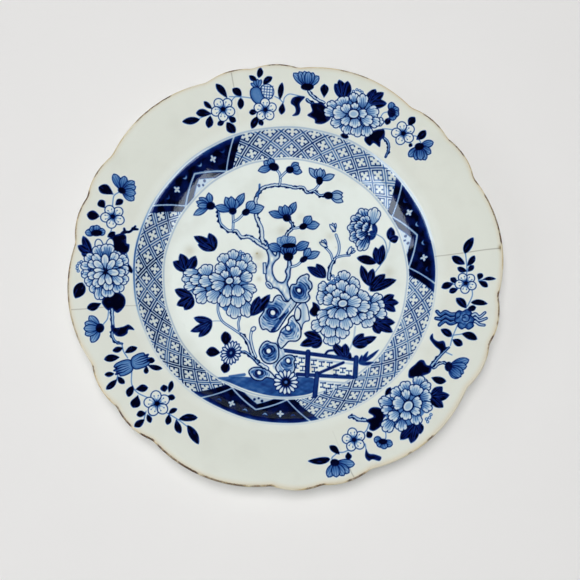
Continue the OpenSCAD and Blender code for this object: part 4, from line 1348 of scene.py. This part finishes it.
def brown_lip():
    """The half-round lip in its brown dressing, swept along the outline"""
    tilt = np.linspace(np.pi / 2, -np.pi / 2, LIP_SIDES + 1)
    out = LIP_ROUND * np.cos(tilt)
    up = BEAD_Z + LIP_ROUND * np.sin(tilt)
    place = lip_points[:, None] + out[None, :] * lip_facing[:, None]
    points = np.stack([place.real, place.imag, np.broadcast_to(up, place.shape)], -1)
    stops, sides = place.shape
    ids = np.arange(stops * sides).reshape(stops, sides)
    after = np.roll(ids, -1, 0)
    ring = np.roll(ids, -1, 1)
    quads = np.stack([ids, ring, np.roll(ring, -1, 0), after], -1).reshape(-1, 4)
    piece = add_mesh("brown_lip", points.reshape(-1, 3), [quads])
    turn = np.degrees(np.angle(place)) % 360
    dark = np.zeros(place.shape)
    for first, last, tone in LIP_WEAR:
        within = (last - first) / 2 - np.abs(turn - (first + last) / 2)
        dark = np.maximum(dark, tone * unit(within / DARK_FADE + 0.5))
    # Pale stretches: bare lip, and on the south-east side painted light
    pale = np.zeros(place.shape)
    for first, last in PALE_AND_LIT_LIP:
        within = (last - first) / 2 - np.abs(turn - (first + last) / 2)
        pale = np.maximum(pale, unit(within / PALE_FADE))
    reach = np.broadcast_to(out / LIP_ROUND, place.shape)
    add_values(piece, "brown", dark.ravel())
    add_values(piece, "pale", pale.ravel())
    add_values(piece, "reach", reach.ravel())
    add_values(piece, "warm", np.ones(place.size))
    add_values(piece, "worn", np.full(place.size, LIP_RUBBED))
    return piece


face = painted_face()
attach(face, "root")
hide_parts("face_glaze", "trellis_border", "reserve_panels", "ring_lines")
lip = brown_lip()
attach(lip, "root")
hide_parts("rim_dressing")


# Materials
def srgb(red, green, blue):
    """A linear colour from the 0 to 255 values a screen shows"""
    share = np.array([red, green, blue]) / 255
    linear = np.where(share <= 0.04045, share / 12.92, ((share + 0.055) / 1.055) ** 2.4)
    return (*linear.tolist(), 1.0)


class Shader:
    """A short way to build one node material"""

    def __init__(self, name):
        self.material = bpy.data.materials.new(name)
        self.material.use_nodes = True
        self.tree = self.material.node_tree
        self.surface = self.tree.nodes["Principled BSDF"]
        self.place = self.add("ShaderNodeTexCoord").outputs["Object"]

    def add(self, kind, **values):
        made = self.tree.nodes.new(kind)
        for key, value in values.items():
            setattr(made, key, value)
        return made

    def join(self, source, socket):
        if hasattr(source, "is_output"):
            self.tree.links.new(source, socket)
        else:
            socket.default_value = source

    def value(self, name):
        """A number stored on the mesh's points"""
        return self.add("ShaderNodeAttribute", attribute_name=name).outputs["Fac"]

    def noise(self, scale, detail=3.0):
        """Noise between 0 and 1, with features about one over scale metres wide"""
        made = self.add("ShaderNodeTexNoise")
        made.inputs["Scale"].default_value = scale
        made.inputs["Detail"].default_value = detail
        self.join(self.place, made.inputs["Vector"])
        return made.outputs["Fac"]

    def math(self, kind, first, second=0.0):
        made = self.add("ShaderNodeMath", operation=kind)
        self.join(first, made.inputs[0])
        self.join(second, made.inputs[1])
        return made.outputs[0]

    def spread(self, source, low, high, to_low, to_high):
        """A value moved from one range to another, held inside it"""
        made = self.add("ShaderNodeMapRange")
        self.join(source, made.inputs["Value"])
        made.inputs["From Min"].default_value = low
        made.inputs["From Max"].default_value = high
        made.inputs["To Min"].default_value = to_low
        made.inputs["To Max"].default_value = to_high
        return made.outputs["Result"]

    def ramp(self, source, stops):
        made = self.add("ShaderNodeValToRGB")
        items = made.color_ramp.elements
        while len(items) < len(stops):
            items.new(0.5)
        for item, (where, colour) in zip(items, stops):
            item.position = where
            item.color = colour
        self.join(source, made.inputs["Fac"])
        return made.outputs["Color"]

    def mix(self, share, first, second, kind="MIX"):
        made = self.add("ShaderNodeMix", data_type="RGBA", blend_type=kind)
        self.join(share, made.inputs["Factor"])
        self.join(first, made.inputs["A"])
        self.join(second, made.inputs["B"])
        return made.outputs["Result"]

    def bump(self, height, strength, distance, below=None):
        """Relief in the surface's normal, on top of another relief where one is given"""
        made = self.add("ShaderNodeBump")
        made.inputs["Strength"].default_value = strength
        made.inputs["Distance"].default_value = distance
        self.join(height, made.inputs["Height"])
        if below:
            self.join(below, made.inputs["Normal"])
        self.join(made.outputs["Normal"], self.surface.inputs["Normal"])
        return made.outputs["Normal"]

    def finish(self, colour, roughness, ior):
        self.join(colour, self.surface.inputs["Base Color"])
        self.join(roughness, self.surface.inputs["Roughness"])
        self.surface.inputs["IOR"].default_value = ior
        return self.material


# Colours and gloss of the glaze, the lip, the paste and the floor
GLAZE_IOR = 1.5
GLAZE_LIGHT = srgb(241, 247, 240)
GLAZE_SHADE = srgb(235, 242, 234)
GLAZE_WARM = srgb(227, 230, 219)
GLAZE_DULL = srgb(212, 214, 202)
GLAZE_LIP = srgb(224, 206, 168)
SPECK_BROWN = srgb(150, 132, 108)
STAIN_BROWN = srgb(158, 134, 66)
CRACK_BROWN = srgb(104, 88, 66)
# Tone of the pale lip: bare lip, and on the south-east side painted light
BARE_AND_LIT_TONE = srgb(230, 222, 198)
LIP_BUFF = ((0.3, srgb(230, 220, 192)), (0.55, srgb(216, 198, 156)), (0.75, srgb(194, 166, 118)))
LIP_DARK = ((0.35, srgb(52, 32, 18)), (0.6, srgb(104, 74, 44)), (0.75, srgb(150, 118, 76)))
PASTE_LIGHT = srgb(226, 218, 202)
PASTE_SHADE = srgb(206, 192, 168)
PASTE_BURNT = srgb(184, 134, 84)
PASTE_IOR = 1.45
FLOOR_LIGHT = srgb(242, 240, 237)
FLOOR_SHADE = srgb(239, 237, 234)
FLOOR_ROUGH = 0.85
FLOOR_IOR = 1.5
SPECK_SCALE = 95.0
COBALT_STOPS = (
    (0.0, srgb(232, 238, 233)),
    (0.15, srgb(196, 211, 221)),
    (0.3, srgb(152, 182, 209)),
    (0.5, srgb(78, 123, 178)),
    (0.66, srgb(36, 80, 145)),
    (0.82, srgb(12, 30, 98)),
    (1.0, srgb(3, 4, 24)),
)


def white_glaze(shader):
    """White glaze with a faint uneven tint and iron specks"""
    tint = shader.mix(shader.noise(28.0, 4.0), GLAZE_LIGHT, GLAZE_SHADE)
    tint = shader.mix(shader.value("warm"), tint, GLAZE_WARM)
    tint = shader.mix(shader.spread(shader.noise(55.0, 5.0), 0.5, 0.72, 0.0, 0.3), tint, GLAZE_DULL)
    tint = shader.mix(shader.value("worn"), tint, GLAZE_LIP)
    cells = shader.add("ShaderNodeTexVoronoi")
    cells.inputs["Scale"].default_value = SPECK_SCALE
    shader.join(shader.place, cells.inputs["Vector"])
    speck = shader.spread(cells.outputs["Distance"], 0.02, 0.045, 0.55, 0.0)
    rare = shader.spread(cells.outputs["Color"], 0.80, 0.84, 0.0, 1.0)
    return shader.mix(shader.math("MULTIPLY", speck, rare), tint, SPECK_BROWN)


# The hollow of the wall: where its middle lies, how far it reaches to each side, and half its depth
HOLLOW_MIDDLE = 72.85
HOLLOW_HALF = 11.0
HOLLOW_DEPTH = 0.4


def wall_hollow(shader):
    """The slight hollow of the wall, which shows only in how the wall takes the light"""
    flat = shader.add("ShaderNodeVectorMath", operation="MULTIPLY")
    shader.join(shader.place, flat.inputs[0])
    flat.inputs[1].default_value = (1.0, 1.0, 0.0)
    radius = shader.add("ShaderNodeVectorMath", operation="LENGTH")
    shader.join(flat.outputs["Vector"], radius.inputs[0])
    start = (HOLLOW_MIDDLE - HOLLOW_HALF) * MM
    end = (HOLLOW_MIDDLE + HOLLOW_HALF) * MM
    turn = shader.spread(radius.outputs["Value"], start, end, -math.pi, math.pi)
    height = shader.math("MULTIPLY", shader.math("COSINE", turn), -HOLLOW_DEPTH * MM)
    return shader.bump(height, 1.0, 1.0)


def glaze_relief(shader, below=None):
    """The soft ripple of a fired glaze"""
    fine = shader.noise(700.0, 2.0)
    broad = shader.math("MULTIPLY", shader.noise(90.0, 2.0), 3.0)
    shader.bump(shader.math("ADD", fine, broad), 0.1, 0.3 * MM, below)


def face_material():
    """The painted face: cobalt under clear glaze, with its stains and cracks"""
    shader = Shader("painted_face_glaze")
    load = shader.spread(shader.noise(420.0, 4.0), 0.25, 0.75, 0.95, 1.04)
    broad = shader.spread(shader.noise(60.0, 3.0), 0.3, 0.7, 0.95, 1.04)
    depth = shader.math("MULTIPLY", shader.value("cobalt"), shader.math("MULTIPLY", load, broad))
    blue = shader.ramp(depth, COBALT_STOPS)
    shown = shader.spread(depth, 0.0, 0.08, 0.0, 1.0)
    colour = shader.mix(shown, white_glaze(shader), blue)
    colour = shader.mix(shader.value("stain"), colour, STAIN_BROWN, "MULTIPLY")
    colour = shader.mix(shader.value("crack"), colour, CRACK_BROWN, "MULTIPLY")
    glaze_relief(shader, wall_hollow(shader))
    return shader.finish(colour, shader.spread(shader.noise(240.0), 0.3, 0.7, 0.04, 0.08), GLAZE_IOR)


def lip_material():
    """The lip: brown dressing, worn to buff in stretches, and pale in some: bare lip, and on its
    south-east side painted light
    """
    shader = Shader("brown_lip_dressing")
    grain = shader.noise(900.0, 5.0)
    worn_patch = shader.noise(150.0, 4.0)
    buff = shader.ramp(worn_patch, LIP_BUFF)
    dark = shader.ramp(grain, LIP_DARK)
    dash = shader.spread(shader.noise(380.0, 3.0), 0.38, 0.56, 0.55, 1.3)
    brown = shader.value("brown")
    worn = shader.math("MULTIPLY", dash, shader.spread(worn_patch, 0.35, 0.6, 0.7, 1.25))
    worn = shader.math("MULTIPLY", brown, worn)
    colour = shader.mix(worn, buff, dark)
    # Pale stretches of the lip, partly painted light on its south-east side
    colour = shader.mix(shader.value("pale"), colour, BARE_AND_LIT_TONE)
    edge = shader.math("ADD", shader.value("reach"), shader.spread(grain, 0.3, 0.7, -0.12, 0.12))
    edge = shader.math("ADD", edge, shader.math("MULTIPLY", shader.value("brown"), 0.2))
    band = shader.spread(edge, 0.22, 0.44, 0.0, 1.0)
    colour = shader.mix(band, white_glaze(shader), colour)
    shader.bump(grain, 0.2, 0.2 * MM)
    return shader.finish(colour, shader.spread(grain, 0.3, 0.7, 0.25, 0.5), GLAZE_IOR)


def glaze_material(name):
    """Plain glaze for the back and the base"""
    shader = Shader(name)
    glaze_relief(shader)
    return shader.finish(
        white_glaze(shader), shader.spread(shader.noise(240.0), 0.3, 0.7, 0.1, 0.18), GLAZE_IOR,
    )


def paste_material():
    """Bare paste of the foot's edge: off-white, burnt orange where the glaze stops"""
    shader = Shader("bare_foot_paste")
    grit = shader.noise(1400.0, 6.0)
    burn = shader.noise(45.0, 4.0)
    body = shader.mix(grit, PASTE_LIGHT, PASTE_SHADE)
    colour = shader.mix(shader.spread(burn, 0.4, 0.65, 0.1, 0.75), body, PASTE_BURNT)
    shader.bump(grit, 0.35, 0.2 * MM)
    return shader.finish(colour, shader.spread(grit, 0.3, 0.7, 0.55, 0.8), PASTE_IOR)


def dress(piece, material):
    """Gives a piece one material"""
    if piece.data.materials:
        for k in range(len(piece.data.materials)):
            piece.data.materials[k] = material
    else:
        piece.data.materials.append(material)


face_coat = face_material()
plain_glaze = glaze_material("plain_glaze")
lip_coat = lip_material()
dress(face, face_coat)
dress(lip, lip_coat)
for node in ("face_glaze", "back_glaze", "base_glaze", "trellis_border", "reserve_panels", "ring_lines"):
    dress(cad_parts[node], plain_glaze)
dress(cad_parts["rim_dressing"], lip_coat)
dress(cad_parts["porcelain_body"], paste_material())


# Stage: floor, lights and camera, in metres
FLOOR_SIZE = 5.0
FLOOR_CELLS = 8
FLOOR_DROP = 0.00005
bpy.ops.mesh.primitive_grid_add(
    x_subdivisions=FLOOR_CELLS, y_subdivisions=FLOOR_CELLS, size=FLOOR_SIZE, location=(0, 0, -FLOOR_DROP)
)
floor = bpy.context.object
floor.name = "floor"
paper = Shader("pale_floor")
dress(floor, paper.finish(paper.mix(paper.noise(12.0), FLOOR_LIGHT, FLOOR_SHADE), FLOOR_ROUGH, FLOOR_IOR))


LAMP_COLOUR = (0.97, 0.98, 1.0)
WINDOW_COLOUR = (0.74, 0.85, 1.0)


def soft_light(name, azimuth, elevation, distance, size, power, window):
    """A soft light that faces the plate: a window only mirrors in the glaze, a lamp only lights"""
    data = bpy.data.lights.new(name, "AREA")
    data.shape = "RECTANGLE"
    data.size, data.size_y = size
    data.energy = power
    data.color = WINDOW_COLOUR if window else LAMP_COLOUR
    lamp = bpy.data.objects.new(name, data)
    up = math.radians(elevation)
    turn = math.radians(azimuth)
    way = Vector((math.cos(up) * math.cos(turn), math.cos(up) * math.sin(turn), math.sin(up)))
    lamp.location = way * distance
    lamp.visible_glossy = window
    lamp.visible_diffuse = not window
    lamp.rotation_euler = way.to_track_quat("Z", "Y").to_euler()
    bpy.context.scene.collection.objects.link(lamp)


soft_light("fill_above", 180, 88, 1.8, (0.7, 0.7), 24.5, False)
soft_light("key_left", 190, 45, 2.2, (1.5, 1.2), 5.5, False)
soft_light("window_left", 201, 39.5, 3.2, (2.1, 1.4), 54.0, True)
soft_light("window_right", -27, 41.5, 3.2, (1.75, 1.2), 35.0, True)

ROOM_COLOUR = (1.0, 0.99, 0.97, 1.0)
ROOM_STRENGTH = 0.12
world = bpy.data.worlds.new("soft_room")
bpy.context.scene.world = world
world.use_nodes = True
room = world.node_tree.nodes["Background"]
room.inputs["Color"].default_value = ROOM_COLOUR
room.inputs["Strength"].default_value = ROOM_STRENGTH
world.cycles_visibility.glossy = False
bpy.context.scene.view_settings.view_transform = "Standard"

PHOTO_SIZE = 580
FOCAL_PIXELS = 1126.2
AIM_PIXEL = (285.9, 272.8)
EYE_TILT = math.radians(11.0)
EYE_DISTANCE = 0.6
EYE_NEAREST = 0.01
AIM_HEIGHT = 0.015
aim = Vector((0, 0, AIM_HEIGHT))
eye = bpy.data.cameras.new("eye")
eye.angle = 2 * math.atan(PHOTO_SIZE / 2 / FOCAL_PIXELS)
eye.shift_x = (PHOTO_SIZE / 2 - AIM_PIXEL[0]) / PHOTO_SIZE
eye.shift_y = (AIM_PIXEL[1] - PHOTO_SIZE / 2) / PHOTO_SIZE
eye.clip_start = EYE_NEAREST
camera = bpy.data.objects.new("eye", eye)
camera.location = aim + EYE_DISTANCE * Vector((0, -math.sin(EYE_TILT), math.cos(EYE_TILT)))
camera.rotation_euler = (camera.location - aim).to_track_quat("Z", "Y").to_euler()
bpy.context.scene.collection.objects.link(camera)
bpy.context.scene.camera = camera
